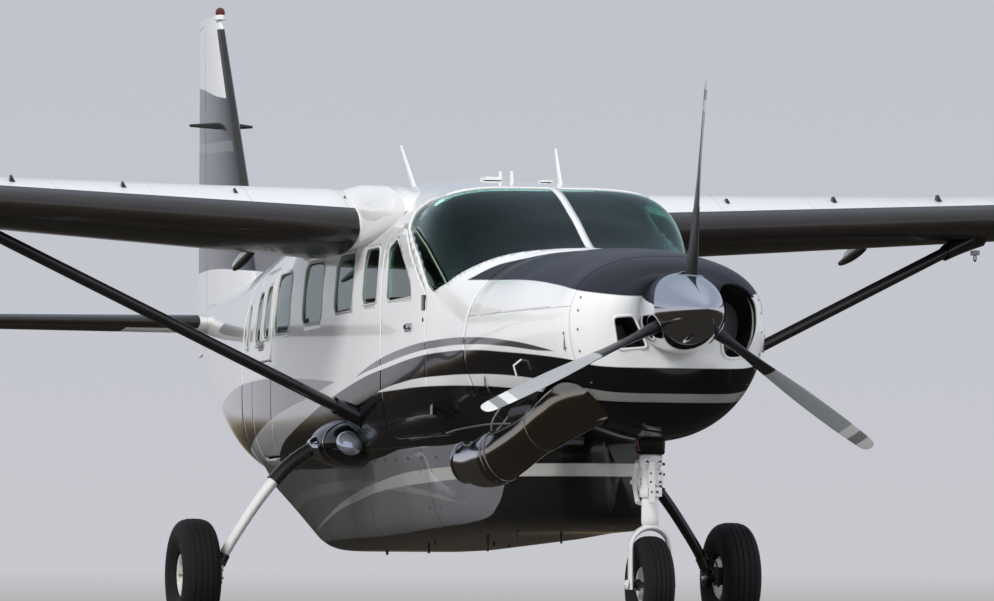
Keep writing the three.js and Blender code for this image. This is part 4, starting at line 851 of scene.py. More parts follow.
# outlines seen from the side, (station, height)
outlines = {
    "crewDoor": millimetres([3010, 1200], [3985, 1200], [3985, 2412], [3615, 2500], [3010, 2060]),
    "crewWindow": millimetres([3285, 2045], [3875, 2036], [3905, 2375], [3745, 2432], [3330, 2155]),
    "stair": millimetres([6930, 1150], [7610, 1150], [7610, 2400], [6930, 2400]),
    "stairUpper": millimetres([6930, 1790], [7610, 1790], [7610, 2400], [6930, 2400]),
    "stairLower": millimetres([6930, 1150], [7610, 1150], [7610, 1790], [6930, 1790]),
    "cargo": millimetres([6425, 1150], [7665, 1150], [7665, 2401], [6425, 2401]),
    "cargoUpper": millimetres([6425, 1790], [7665, 1790], [7665, 2400], [6425, 2400]),
    "cargoLower": millimetres([6425, 1150], [7665, 1150], [7665, 1790], [6425, 1790]),
    "windshield": millimetres([2322, 2304], [2400, 2272], [2520, 2202], [2724, 2107], [2905, 2052], [2990, 2095],
                              [3205, 2295], [3570, 2492], [3605, 2580], [3510, 2656], [3240, 2676], [3168, 2704],
                              [3168, 2800], [2300, 2420]),
}
windows = {  # from, to, sill, head in millimetres
    "right": [[4090, 4480, 2040, 2400], [4695, 5175, 2020, 2400], [5505, 6020, 1985, 2390], [6385, 6865, 1950, 2360]],
    "left": [[4090, 4480, 2040, 2400], [4695, 5175, 2020, 2400], [5505, 6020, 1985, 2390]],
    "stair": [[7010, 7250, 1930, 2300], [7320, 7560, 1900, 2270]],
    "cargo": [[6540, 6980, 1940, 2320], [7110, 7550, 1910, 2290]],
    "rear": [[7790, 7930, 1900, 2200]],
}
skinWall, doorGap, doorRadius, paneInset = 0.042, 0.008, 0.07, 0.008
windowRadius, rearRadius, crewRadius, skinStep = 0.085, 0.045, 0.04, 0.026


def windowOutline(row, grow=0.0, radius=windowRadius):
    a, b, low, high = (v * mm for v in row)
    return roundedOutline([[a, low], [b, low], [b, high], [a, high]], radius, grow)


def doorOutline(key, grow=doorGap / 2):
    return roundedOutline(outlines[key], doorRadius, grow)


# the windshield's field: inside its side outline and clear of the middle post
postHalf = 0.022
def windshieldField(verts, grow=0.0):
    inside = insideBy(roundedOutline(outlines["windshield"], 0.025, grow),
                      np.stack([verts[:, 1] + noseTip, verts[:, 2]], -1))
    return np.minimum(inside, np.abs(verts[:, 0]) - postHalf + grow)


# a part less what lies in a side's outline, and a part less what lies inside the fuselage
def holed(part, outline, side):
    return clip(part, outsideOf(sideField(outline, side)))


def clearOfBody(part, grow=0.0):
    return clip(part, lambda v: outsideBody(v, grow))


# fuselage shell, from the firewall to the rear bulkhead, with its openings cut through
shell = skinOf(2.270, 8.050, skinStep)
for side, windowKeys in ((-1, ("right", "rear")), (1, ("left", "rear"))):
    shell = holed(shell, doorOutline("crewDoor"), side)
    for key in windowKeys:
        for row in windows[key]:
            shell = holed(shell, windowOutline(row, 0.0, rearRadius if key == "rear" else windowRadius), side)
shell = holed(holed(shell, doorOutline("stair"), -1), doorOutline("cargo"), 1)
shell = clip(shell, lambda v: -windshieldField(v))
makePiece("cabin_skin", shell, aircraftPaint, replaces=["cabin_shell", "cabin_floor"], wall=0.030,
          smooth=50)


# a door: the same skin inside its outline, less the gap, kept within reach of its hinge
def doorSkin(key, side, hinge, reach, holes=()):
    part = clip(skinOf(2.9, 8.0, skinStep), sideField(doorOutline(key, -doorGap / 2), side))
    p, q = np.asarray(hinge[0]), np.asarray(hinge[1])
    run = (q - p) / np.linalg.norm(q - p)
    part = clip(part, lambda v: reach - np.linalg.norm(np.cross(v - p, run), axis=1))
    for outline in holes:
        part = holed(part, outline, side)
    return part


def makeDoor(name, part, body, node):
    makePiece(name, part, aircraftPaint, body, [node], wall=skinWall, smooth=50)


# a level hinge line along a door's edge, on the skin
def levelHinge(side, start, end, height):
    return [[side * halfWidthAt(s, height)[0], s - noseTip, height] for s in (start, end)]


crewHinge, cargoHinge = 3.006, 6.421
crewReach = 3.985 - doorGap / 2 - crewHinge
for name, side in hands:
    hinge = [[side * 0.847, crewHinge - noseTip, 0.95], [side * 0.847, crewHinge - noseTip, 2.85]]
    opening = roundedOutline(outlines["crewWindow"], crewRadius, 0.0)
    body = f"crew_door_{name}"
    makeDoor(f"crew_door_skin_{name}", doorSkin("crewDoor", side, hinge, crewReach, [opening]), body, body)
    glass = roundedOutline(outlines["crewWindow"], crewRadius, -0.0003)
    pane = clip(skinOf(3.1, 4.1, 0.03, paneInset), sideField(glass, side))
    makePiece(f"crew_pane_{name}", pane, glassFinish, body, [f"crew_window_{name}"], wall=0.006,
              smooth=60)
stairTop = doorSkin("stairUpper", -1, levelHinge(-1, 6.930, 7.610, 2.396), 0.640,
                    [windowOutline(r) for r in windows["stair"]])
makeDoor("airstair_skin_upper", stairTop, "airstair_upper", "airstair_upper")
stairLow = doorSkin("stairLower", -1, levelHinge(-1, 6.930, 7.610, 1.149), 0.660)
makeDoor("airstair_skin_lower", clip(stairLow, lambda v: v[:, 2] - 1.164), "airstair_lower", "airstair_lower")
cargoTop = doorSkin("cargoUpper", 1, levelHinge(1, 6.425, 7.665, 2.396), 0.640,
                    [windowOutline(r) for r in windows["cargo"]])
makeDoor("cargo_skin_upper", clip(cargoTop, lambda v: 2.384 - v[:, 2]), "cargo_door_upper", "cargo_door_upper")
cargoPost = [[0.86, cargoHinge - noseTip, 1.0], [0.86, cargoHinge - noseTip, 2.0]]
cargoLow = doorSkin("cargoLower", 1, cargoPost, 7.665 - doorGap / 2 - cargoHinge)
makeDoor("cargo_skin_lower", cargoLow, "cargo_door_lower", "cargo_door_lower")


# a seal laid round a rim on one side of the fuselage
def sealRound(rim, side, radius):
    x = side * (halfWidthAt(rim[:, 0], rim[:, 1]) - 0.003)
    return hoop(np.stack([x, rim[:, 0] - noseTip, rim[:, 1]], -1), radius, up=(1, 0, 0))


# window panes, one piece for each body that carries them, with a pale seal round each
def paneSet(name, rows, side, body, replaced, radius=windowRadius):
    panes, seals = [], []
    for row in rows:
        near = skinOf(row[0] * mm - 0.1, row[1] * mm + 0.1, 0.03, paneInset)
        panes.append(clip(near, sideField(windowOutline(row, -0.0003, radius), side)))
        seals.append(sealRound(windowOutline(row, -0.002, radius), side, 0.0085))
    makePiece(name + "_panes", panes, glassFinish, body, replaced, wall=0.006, smooth=60)
    makePiece(name + "_seals", seals, sealRubber, body, smooth=60)


paneSet("right_windows", windows["right"], -1, "airframe", ["cabin_windows_right"])
paneSet("left_windows", windows["left"], 1, "airframe", ["cabin_windows_left"])
paneSet("rear_right", windows["rear"], -1, "airframe", ["rear_window_right"], rearRadius)
paneSet("rear_left", windows["rear"], 1, "airframe", ["rear_window_left"], rearRadius)
paneSet("airstair", windows["stair"], -1, "airstair_upper", ["airstair_windows"])
paneSet("cargo", windows["cargo"], 1, "cargo_door_upper", ["cargo_windows"])
for name, side in hands:
    seal = sealRound(roundedOutline(outlines["crewWindow"], crewRadius, -0.002), side, 0.0055)
    makePiece(f"crew_seal_{name}", seal, sealRubber, f"crew_door_{name}", smooth=60)

# windshield panes, and the divider that parts the narrow side strip from the main pane
glassNear = clip(skinOf(2.25, 3.70, 0.02, paneInset), lambda v: windshieldField(v, -0.0003))
dividerLine = [[3.470, 2.482], [3.300, 2.438], [3.084, 2.352], [2.960, 2.272], [2.860, 2.198], [2.735, 2.100]]
for name, side in hands:
    pane = clip(glassNear, lambda v: v[:, 0] * side)
    makePiece(f"windshield_pane_{name}", pane, shieldFinish, "airframe", [f"windshield_{name}"],
              wall=0.008, smooth=60)
s, z = smoothPath(dividerLine, 28).T
for name, side in hands:
    path = np.stack([side * halfWidthAt(s, z, 0.001), s - noseTip, z], -1)
    makePiece(f"windshield_divider_{name}", tube(path, 0.008, 10, up=(side, 0, 0), flat=0.5), dividerGreen)
print("fuselage ready")
# an aerofoil's section: camber line plus and minus the half thickness of a four-figure section
def foilSection(turn, thick, camber):
    along = (1 + np.cos(turn)) / 2
    fullness = 0.2969 * np.sqrt(along) - 0.126 * along - 0.3516 * along ** 2 + 0.2843 * along ** 3 - 0.1036 * along ** 4
    half = 5 * thick * fullness
    lift = np.where(along < 0.4, camber / 0.16 * (0.8 * along - along ** 2),
                    camber / 0.36 * (0.2 + 0.8 * along - along ** 2))
    return along, lift + np.sign(np.sin(turn)) * np.maximum(half, 0)


# rows: place, leading edge, height, chord, thickness, twist
wingRows = np.array([
    [560, 3700, 2612, 2717, 0.118, 3.1], [770, 3790, 2602, 2627, 0.123, 3], [835, 4060, 2580, 2357, 0.143, 2.8],
    [880, 4452, 2546, 1966, 0.172, 2.48], [7750, 4617, 2892, 1245, 0.125, -0.6], [7880, 4650, 2900, 1180, 0.105, -0.6],
    [7935, 4730, 2905, 1010, 0.06, -0.6],
]) * np.array([mm] * 4 + [1, 1])
wingCamber, proud = 0.02, 0.0016
# extra height of the upper surface over the span, where the centre section meets the roof
wingHump = ([0.56, 0.70, 0.90, 1.7, 3.0, 5.5, 7.75], [-0.06, 0.0, 0.080, 0.055, 0.024, 0.010, 0.0])


# a lifting surface: at each place the section times the chord, leaned back by the twist, raised by the hump,
# and grown outwards by a small proud skin
def wingSurface(places, count=120, grow=proud, rows=wingRows, camber=wingCamber):
    turn = np.linspace(0, tau, count)  # from the trailing edge over the top and back under
    lead, height, chord, thick, twist = (straightRows(rows, places)[:, k, None] for k in range(5))
    along, lift = foilSection(turn[None], thick, camber)
    back = chord * along
    up = chord * lift
    hump = np.interp(np.abs(places), *wingHump)[:, None] * (rows is wingRows)
    rise = np.clip((along - 0.045) / 0.22, 0, 1) * np.clip((0.66 - along) / 0.34, 0, 1)
    up = up + hump * rise ** 2 * (3 - 2 * rise) * (np.sin(turn) > 0)
    back = back + grow * np.cos(turn)[None] * (np.abs(np.cos(turn))[None] > 0.93)
    up = up + grow * np.sign(np.sin(turn))[None]
    return np.stack([np.broadcast_to(np.asarray(places)[:, None], back.shape), lead + back - noseTip,
                     height + up - back * np.sin(np.radians(twist))], -1)


# a hinge line's frame: how far a point lies along it, behind it and from it
def hingeFrame(start, end):
    start, end = np.asarray(start, float), np.asarray(end, float)
    run = (end - start) / np.linalg.norm(end - start)
    aft = np.array([0, 1.0, 0]) - run * run[1]
    aft /= np.linalg.norm(aft)
    def read(verts):
        d = verts - start
        return d @ run, d @ aft, np.linalg.norm(d - (d @ run)[:, None] * run, axis=1)
    return read, np.linalg.norm(end - start)


flapHinge = [(0.985, -0.4438, 2.5160), (5.01, -0.6597, 2.7555)]
aileronHinge = [(5.04, -0.6613, 2.7573), (7.48, -0.7922, 2.9025)]
flapHalf, aileronHalf = (0.0902, 0.0614), (0.0612, 0.0438)


# above zero on the fixed wing: ahead of each hinge line by its round cove, or beyond its ends
def fixedField(verts, surfaces, cove=0.009, endGap=0.008):
    value = np.full(len(verts), 1.0)
    for (start, end), (h0, h1) in surfaces:
        read, length = hingeFrame(start, end)
        along, behind, away = read(verts)
        radius = h0 + (h1 - h0) * np.clip(along / length, 0, 1) + cove
        ends = np.maximum(-along, along - length) - endGap
        here = np.where(behind > 0, -np.maximum(behind, 1e-4), away - radius)
        value = np.minimum(value, np.maximum(here, ends))
    return value


# above zero on a moving surface: behind its hinge line and between its ends
def movingField(verts, surface):
    read, length = hingeFrame(*surface[0])
    along, behind, _ = read(verts)
    return np.minimum(behind, np.minimum(along, length - along))


# places along a span, no further apart than about a step, with one at every break
def spanPlaces(*breaks, step=0.12):
    places = [np.linspace(a, b, max(int(abs(b - a) / step), 1) + 1)[:-1] for a, b in zip(breaks[:-1], breaks[1:])]
    return np.concatenate(places + [np.array(breaks[-1:])])


wingPlaces = spanPlaces(0.560, 0.770, 0.835, 0.880, 7.750, 7.880, 7.935)
wingPart = grid(wingSurface(wingPlaces))
tipRing = wingSurface(wingPlaces[-1:])[0]
surfacesLeft = [(flapHinge, flapHalf), (aileronHinge, aileronHalf)]
wingShell = clearOfBody(clip(wingPart, lambda v: fixedField(v, surfacesLeft)), 0.0005)
tipFan = grid(np.stack([tipRing, np.broadcast_to(tipRing.mean(0), tipRing.shape)]))
wingShell = turned(together(wingShell, tipFan))
flapPart = turned(clip(wingPart, lambda v: movingField(v, surfacesLeft[0])))
aileronPart = turned(clip(wingPart, lambda v: movingField(v, surfacesLeft[1])))
for name, part in (("wing", wingShell), ("flap", flapPart), ("aileron", aileronPart)):
    for side in ("left", "right"):
        body = "airframe" if name == "wing" else f"{name}_{side}"
        made = part if side == "left" else mirrored(part)
        makePiece(f"{name}_skin_{side}", made, wingFinish, body)


# the front of a section up to a limit behind its leading edge
def frontOf(part, rows, limit, axis=0):
    return clip(part, lambda v: limit - (v[:, 1] + noseTip - straightRows(rows, v[:, axis])[:, 0]))


# the leading edge's boot: the front of the section, a little proud of the skin
bootPart = turned(frontOf(grid(wingSurface(spanPlaces(0.888, 2.0, 4.0, 7.30, step=0.2), 260, 0.0032)), wingRows, 0.115))
for side, part in (("left", bootPart), ("right", mirrored(bootPart))):
    makePiece(f"wing_boot_{side}", part, bootFinish)

# struts: an oval bar from the fuselage's side to the wing's underside, with cuffs at both ends
strut = {"low": (0.800, 4.660, 1.325), "high": (3.400, 4.930, 2.600), "halfChord": 0.110, "halfThick": 0.0558,
         "cuffs": (("root", 0.0, 0.075), ("tip", 1.0, 0.90))}


# rings between both ends: a round front that thins to a narrow tail, (a cos t, b sin t (0.62 - 0.38 cos t))
def strutPart(side, shares, grow=0.0, swell=1.0):
    low, high = (np.array(strut[end]) - [0, noseTip, 0] for end in ("low", "high"))
    t = -np.arange(40) / 40 * tau
    back = (strut["halfChord"] + grow) * np.cos(t)
    thick = (strut["halfThick"] + grow) * np.sin(t) * (0.62 - 0.38 * np.cos(t)) * swell
    ring = np.stack(np.broadcast_arrays(np.zeros((len(shares), 1)), back, thick), -1)
    points = (low + (high - low) * shares[:, None, None] + ring) * [side, 1, 1]
    part = grid(points, closed=True)
    return clearOfBody(part if side > 0 else turned(part))


for name, side in hands:
    makePiece(f"strut_skin_{name}", strutPart(side, np.linspace(0, 1, 30)), strutFinish, replaces=[f"strut_{name}"],
              smooth=60)
    # cuffs: a swollen sleeve over each end, tapering into the bar
    for place, outer, inner in strut["cuffs"]:
        shares = np.linspace(min(outer, inner), max(outer, inner), 14)
        edge = (shares - inner) / (outer - inner)
        part = strutPart(side, shares, (0.004 + 0.030 * edge ** 1.6)[:, None], 1.25)
        makePiece(f"strut_cuff_{place}_{name}", part, glossBlack if place == "root" else strutFinish,
                  smooth=60, wall=0.003)

# tailplane and fin: sections by straight rows, as proud skins over their solids
tailRows = np.array([[-3125, 11480, 2235, 640, 0.07, 0], [-3040, 11350, 2235, 880, 0.1, 0],
                     [0, 11040, 2235, 1230, 0.115, 0], [3040, 11350, 2235, 880, 0.1, 0],
                     [3125, 11480, 2235, 640, 0.07, 0]]) * np.array([mm] * 4 + [1, 1])
tailPlaces = spanPlaces(-3.125, -3.040, 0.0, 3.040, 3.125)
tailPart = turned(grid(wingSurface(tailPlaces, 90, 0.0012, tailRows, 0.0)))
elevatorLines = [([(side * 0.195, 11.860 - noseTip, 2.235), (side * 3.020, 11.860 - noseTip, 2.235)],
                  (0.0550, 0.0365)) for side in (1, -1)]


def tailFixed(verts):
    middle = np.where((np.abs(verts[:, 0]) < 0.205) & (verts[:, 1] > 11.770 - noseTip), -0.01, 1.0)
    return np.minimum(fixedField(verts, elevatorLines), middle)


makePiece("tailplane_skin", clearOfBody(clip(tailPart, tailFixed)), tailplaneFinish)
for (name, _), line in zip(hands, elevatorLines):
    makePiece(f"elevator_skin_{name}", clip(tailPart, lambda v: movingField(v, line)), tailplaneFinish, "elevators")
tailBoot = turned(frontOf(grid(wingSurface(tailPlaces, 220, 0.0030, tailRows, 0.0)), tailRows, 0.085))
tailBoot = clip(clip(tailBoot, lambda v: 2.98 - np.abs(v[:, 0])), lambda v: np.abs(v[:, 0]) - 0.36)
makePiece("tailplane_boots", tailBoot, bootFinish)

finRows = np.array([[2000, 10420, 2270, 0.085], [2450, 10710, 1980, 0.09], [4470, 11985, 705, 0.1],
                    [4550, 12090, 570, 0.07]]) * np.array([mm] * 3 + [1])


# the fin: at each height the section times the chord, laid flat across x
def finSurface(heights, grow=0.0012, count=100):
    turn = np.linspace(0, tau, count)
    lead, chord, thick = (straightRows(finRows, heights)[:, k, None] for k in range(3))
    along, across = foilSection(turn[None], thick, 0.0)
    back = chord * along + grow * np.cos(turn)[None] * (np.abs(np.cos(turn))[None] > 0.93)
    return np.stack([chord * across + grow * np.sign(np.sin(turn))[None], lead + back - noseTip,
                     np.broadcast_to(np.asarray(heights)[:, None], back.shape)], -1)


finPart = grid(finSurface(spanPlaces(2.0, 2.45, 4.47, 4.55, step=0.08)))
rudderLine = ([(0, 12.205 - noseTip, 2.075), (0, 12.424 - noseTip, 4.500)], (0.0480, 0.0190))
finSkin = clip(clearOfBody(clip(finPart, lambda v: fixedField(v, [rudderLine]))), lambda v: v[:, 2] - 2.40)
makePiece("fin_skin", finSkin, finFinish)
makePiece("rudder_skin", clip(finPart, lambda v: movingField(v, rudderLine)), finFinish, "rudder")
finBoot = frontOf(grid(finSurface(spanPlaces(2.75, 4.44, step=0.1), 0.0030, 220)), finRows, 0.060, 2)
makePiece("fin_boot", finBoot, bootFinish)


def repaint(finish, *names):
    for name in names:
        nodes[name].data.materials.clear()
        nodes[name].data.materials.append(finish.material)


# the tail cone's skin, and the solids that show beside the skins
makePiece("tail_skin", skinOf(8.0503, 12.180, 0.06), aircraftPaint, replaces=["tail_cone"],
          wall=0.010, smooth=60)
repaint(wingFinish, "wing_left", "wing_right", "flap_left", "flap_right", "aileron_left", "aileron_right")
repaint(tailplaneFinish, "tailplane", "elevator_left", "elevator_right")
repaint(finFinish, "fin", "rudder")
print("wings and tail ready")
# the nose bowl: from the shaft's opening outwards over a rounded front face to the lip, then back along the side
nose = {
    "intake": millimetres([270, 1580], [420, 1590], [492, 1740], [484, 1925], [380, 2020], [240, 2015], [262, 1800]),
    "oilInlet": millimetres([-385, 1815], [-355, 1625], [-175, 1640], [-262, 1825]),
    "shaftRadius": 0.205, "thrust": 1.840, "lip": 0.600, "bowlEnd": 0.780, "cowlSplit": 1.880, "cowlEnd": 2.2697,
    "seamHalf": 0.0012,
}


# the bowl's face swells forward between the hub and the lip: 0.03 sin(pi share)^0.8 (1 - 0.35 share)
def faceSwell(share):
    return 0.030 * np.sin(share * math.pi) ** 0.8 * (1 - 0.35 * share)


# straight rays from the shaft's opening to the lip, moved forward by the swell, then the fuselage's sections
def bowlSurface(around=240):
    angle = -np.arange(around) / around * tau + 1e-4
    sides = bodyPoints(np.linspace(nose["lip"], nose["bowlEnd"] - 0.0003, 22), angle)
    centre = np.array([0.0, nose["lip"] - noseTip, nose["thrust"]])
    ring = centre + nose["shaftRadius"] * np.stack([np.cos(angle), np.zeros(around), np.sin(angle)], -1)
    share = np.linspace(0, 1, 14)[:, None, None]
    face = ring + (sides[0] - ring) * share
    face[:, :, 1] -= faceSwell(share[:, :, 0])
    return grid(np.concatenate([face[:-1], sides]), closed=True)


# above zero inside an outline of (x, height) on the front
def frontField(outline):
    return lambda v: np.where(v[:, 1] < 0.74 - noseTip, insideBy(outline, v[:, [0, 2]]), -1.0)


intakeLine = roundedOutline(nose["intake"], 0.07)
oilLine = roundedOutline(nose["oilInlet"], 0.032)
bowlPart = bowlSurface()
for line in (intakeLine, oilLine):
    bowlPart = clip(bowlPart, outsideOf(frontField(line)))
makePiece("nose_bowl_skin", bowlPart, aircraftPaint, replaces=["nose_bowl"], wall=0.018, smooth=55)


# a duct behind an inlet: its outline carried aft and drawn in
def ductBehind(outline, start, depth, shrink, lift=0.0, steps=10):
    centre = outline.mean(0)
    share = np.linspace(0, 1, steps)[:, None]
    size = 1 - shrink * share ** 1.3
    x = centre[0] + (outline[None, :, 0] - centre[0]) * size
    z = centre[1] + (outline[None, :, 1] - centre[1]) * size + lift * share
    y = np.broadcast_to(start + depth * share - noseTip, x.shape)
    return turned(grid(np.stack([x, y, z], -1), closed=True))


# the face's station at a place on the front, read from the bowl's own surface
def faceStation(points):
    w, low, high, waist, roof, belly = smoothRows(bodyRows, np.array([nose["lip"]]))[0]
    d = points - np.array([0, nose["thrust"]])
    angle = np.arctan2(d[:, 1], d[:, 0])
    far = np.linspace(0.05, 0.75, 200)
    ray = np.array([0, nose["thrust"]]) + far[:, None, None] * np.stack([np.cos(angle), np.sin(angle)], -1)[None]
    up = ray[..., 1] > waist
    power, height = np.where(up, roof, belly), np.where(up, high - waist, waist - low)
    rho = (np.abs(ray[..., 0]) / w) ** power + (np.abs(ray[..., 1] - waist) / height) ** power
    edge = far[np.argmax(rho > 1, axis=0)]
    share = np.clip((np.linalg.norm(d, axis=1) - nose["shaftRadius"]) / (edge - nose["shaftRadius"]), 0, 1)
    return nose["lip"] - faceSwell(share)


# each duct's walls are near-black, a painted shade of the deep inlet
for name, line, depth, shrink in (("intake", intakeLine, 0.26, 0.30), ("oil_inlet", oilLine, 0.20, 0.25)):
    start = nose["lip"] - 0.004
    makePiece(f"{name}_duct", ductBehind(line, start, depth, shrink, -0.02), inletShadeBlack, smooth=50)
    makePiece(f"{name}_screen", ductBehind(line, start + depth, 0.002, 0.98, -0.02, 3), darkSteel, smooth=50)
    rim = np.stack([line[:, 0], faceStation(line) - noseTip, line[:, 1]], -1)
    makePiece(f"{name}_lip", hoop(rim, 0.009, 10, (0, 1, 0)), aircraftPaint, smooth=60)

# cowlings: the upper and lower covers from the bowl to the firewall
cowlPart = skinOf(nose["bowlEnd"], nose["cowlEnd"], 0.03)
cowlUpper = clip(cowlPart, lambda v: v[:, 2] - nose["cowlSplit"] - nose["seamHalf"])
makePiece("cowl_skin_upper", cowlUpper, aircraftPaint, replaces=["cowl_upper"], wall=0.020,
          smooth=55)
exhaust = {
    "line": [[-0.180, 0.900, 1.455], [-0.400, 0.980, 1.372], [-0.505, 1.180, 1.275], [-0.590, 1.480, 1.160],
             [-0.672, 1.780, 1.056], [-0.758, 1.985, 1.002], [-0.792, 2.090, 1.002], [-0.815, 2.180, 1.010]],
    "girth": [[0, 1.22], [0.30, 1.24], [0.52, 1.12], [0.85, 0.95], [1.10, 1.02], [1.24, 1.11], [1.31, 1.12],
              [1.40, 1.04], [1.52, 0.88]],
    "halfHigh": 0.140, "halfWide": 0.115, "beads": ((1.24, 0.0085), (1.275, 0.006), (0.75, 0.004), (9.0, 0.005)),
    "clear": 0.185,
}
exhaustPath = smoothPath(np.array(exhaust["line"]) - [0, noseTip, 0], 44)


# how far points lie from a path
def nearPath(path, verts):
    best = np.full(len(verts), np.inf)
    for a, b in zip(path[:-1], path[1:]):
        run = b - a
        t = np.clip(((verts - a) @ run) / (run @ run), 0, 1)
        best = np.minimum(best, np.linalg.norm(verts - a - t[:, None] * run, axis=1))
    return best


cowlLower = clip(cowlPart, lambda v: nose["cowlSplit"] - nose["seamHalf"] - v[:, 2])
cowlLower = clip(cowlLower, lambda v: nearPath(exhaustPath, v) - exhaust["clear"])
cowlLower = clip(cowlLower, lambda v: np.where(v[:, 2] < 1.3, np.hypot(v[:, 0], v[:, 1] + noseTip - 1.110) - 0.1, 1.0))
makePiece("cowl_skin_lower", cowlLower, aircraftPaint, replaces=["cowl_lower"], wall=0.020,
          smooth=55)


# the exhaust's rings: an ellipse across the path at each point, (wide cos t, high sin t)
def exhaustRing(path, sides=56):
    across, lift = pathFrames(path, (0, 0, 1))
    t = (np.arange(sides) / sides * tau)[None, :, None]
    wide, high = exhaust["halfWide"] * np.cos(t), exhaust["halfHigh"] * np.sin(t)
    return path[:, None] + wide * across[:, None] + high * lift[:, None]


# the pipe, turned out, aft and down, with its girth by the run along it; beads lie round it at their runs
pipe = exhaustRing(exhaustPath)
run = np.concatenate([[0], np.cumsum(np.linalg.norm(np.diff(exhaustPath, axis=0), axis=1))])
middle = pipe.mean(1, keepdims=True)
pipe = middle + (pipe - middle) * smoothRows(exhaust["girth"], run)[:, 0, None, None]
makePiece("exhaust_pipe", turned(grid(pipe, closed=True)), exhaustFinish, replaces=["exhaust_duct"],
          wall=0.006, smooth=60)
beads = [hoop(pipe[np.argmin(np.abs(run - at))], radius, 10) for at, radius in exhaust["beads"]]
makePiece("exhaust_beads", beads, exhaustFinish, smooth=60)

# spinner: the profile turned about the thrust line, cut round for the blade roots, with a bright rim at each cut
spinner = {
    "profile": [(0.0, 0.0), (0.020, 0.006), (0.045, 0.024), (0.095, 0.078), (0.155, 0.175), (0.205, 0.310),
                (0.232, 0.470), (0.236, 0.590), (0.2345, 0.598)],
    "hub": 0.378, "cut": 0.074, "firstBlade": 4.7,
}
profile = np.array(spinner["profile"])
length = np.concatenate([[0], np.cumsum(np.hypot(*np.diff(profile, axis=0).T))])
profile = smoothRows(np.column_stack([length, profile]), np.linspace(0, length[-1], 60))
profile[:, 0] = np.maximum(profile[:, 0], 0.0005)
thrustCentre = np.array([0, -noseTip, nose["thrust"]])
spinPart = lathe(profile, thrustCentre, (0, 1, 0), 144)
bladeTurns = [spinner["firstBlade"] + 120 * k for k in range(3)]
hubCentre = thrustCentre + [0, spinner["hub"], 0]


def bladeAxis(turn):
    a = math.radians(turn)
    return np.array([math.sin(a), 0, math.cos(a)])


# above zero outside the round cut of every blade's root
def outOfBlades(verts):
    value = np.full(len(verts), 1.0)
    for turn in bladeTurns:
        axis = bladeAxis(turn)
        d = verts - hubCentre
        along = d @ axis
        across = np.linalg.norm(d - along[:, None] * axis, axis=1)
        value = np.where(along > 0, np.minimum(value, across - spinner["cut"]), value)
    return value


spinPart = clip(spinPart, outOfBlades, 0.03)
backPlate = lathe([[0.2345, 0.598], [0.210, 0.603], [0.12, 0.603], [0.051, 0.600]], thrustCentre, (0, 1, 0), 144)
makePiece("spinner_skin", [spinPart, backPlate], chrome, "propeller", ["spinner"], smooth=45)
rims, cups = [], []
for turn in bladeTurns:
    axis = bladeAxis(turn)
    side = np.cross(axis, [0, 1.0, 0])
    t = np.linspace(0, tau, 61)[:-1]
    flat = hubCentre + spinner["cut"] * (np.cos(t)[:, None] * side + np.sin(t)[:, None] * np.array([0, 1.0, 0]))
    # out along the blade's axis to the spinner's surface
    along = np.linspace(0.02, 0.32, 400)
    places = flat[:, None] + along[None, :, None] * axis
    radius = np.hypot(places[..., 0], places[..., 2] - nose["thrust"])
    edge = np.interp(places[..., 1] + noseTip, profile[:, 1], profile[:, 0])
    first = along[np.argmax(radius > edge, axis=1)]
    ring = flat + first[:, None] * axis
    rims.append(hoop(ring, 0.0042, 8, axis))
    cups.append(grid(np.stack([ring, ring - axis * 0.07]), closed=True))
makePiece("spinner_rims", rims, chrome, "propeller", smooth=60)
makePiece("spinner_wells", cups, darkSteel, "propeller", smooth=60)

# a blade: rows of distance from the hub, chord, thickness and pitch
bladeRows = np.array([[60, 92, 90, 86], [150, 94, 88, 86], [210, 96, 84, 87], [330, 128, 56, 90], [520, 168, 34, 96],
                      [800, 188, 24, 105], [1080, 176, 15, 110], [1270, 146, 12, 112], [1318, 124, 10, 112.5],
                      [1338, 84, 8, 112.6], [1345, 34, 6, 112.6]]) * np.array([mm, mm, mm, 1])
places = np.concatenate([np.linspace(0.060, 1.27, 80)[:-1], np.linspace(1.27, 1.345, 16)])
chord, thick, pitch = (smoothRows(bladeRows, places)[:, k, None] for k in range(3))
# its section, (c/2 cos t, d/2 sin t (0.82 + 0.18 cos t)), is turned by the pitch
t = np.arange(44) / 44 * tau
wide, deep = chord / 2 * np.cos(t), thick / 2 * np.sin(t) * (0.82 + 0.18 * np.cos(t))
twist = np.radians(pitch)
bladeGrid = np.stack([wide * np.cos(twist) - deep * np.sin(twist), -wide * np.sin(twist) - deep * np.cos(twist),
                      np.broadcast_to(places[:, None], wide.shape)], -1)
bladeOne, tipFace = grid(bladeGrid, closed=True), fan(bladeGrid[-1])


def roundHub(part, turn):
    return part[0] @ spun(math.radians(turn), "y").T + hubCentre, part[1]


blades = [roundHub(part, turn) for turn in bladeTurns for part in (bladeOne, tipFace)]
hub = lathe([[0.001, 0.270], [0.085, 0.275], [0.105, 0.30], [0.105, 0.46], [0.06, 0.475], [0.0479, 0.48],
             [0.0479, 0.719]], thrustCentre, (0, 1, 0), 40)
makePiece("prop_blades_skin", blades, bladeFinish, "propeller", ["prop_blades"], smooth=60)
makePiece("prop_hub", hub, darkSteel, "propeller", smooth=45)
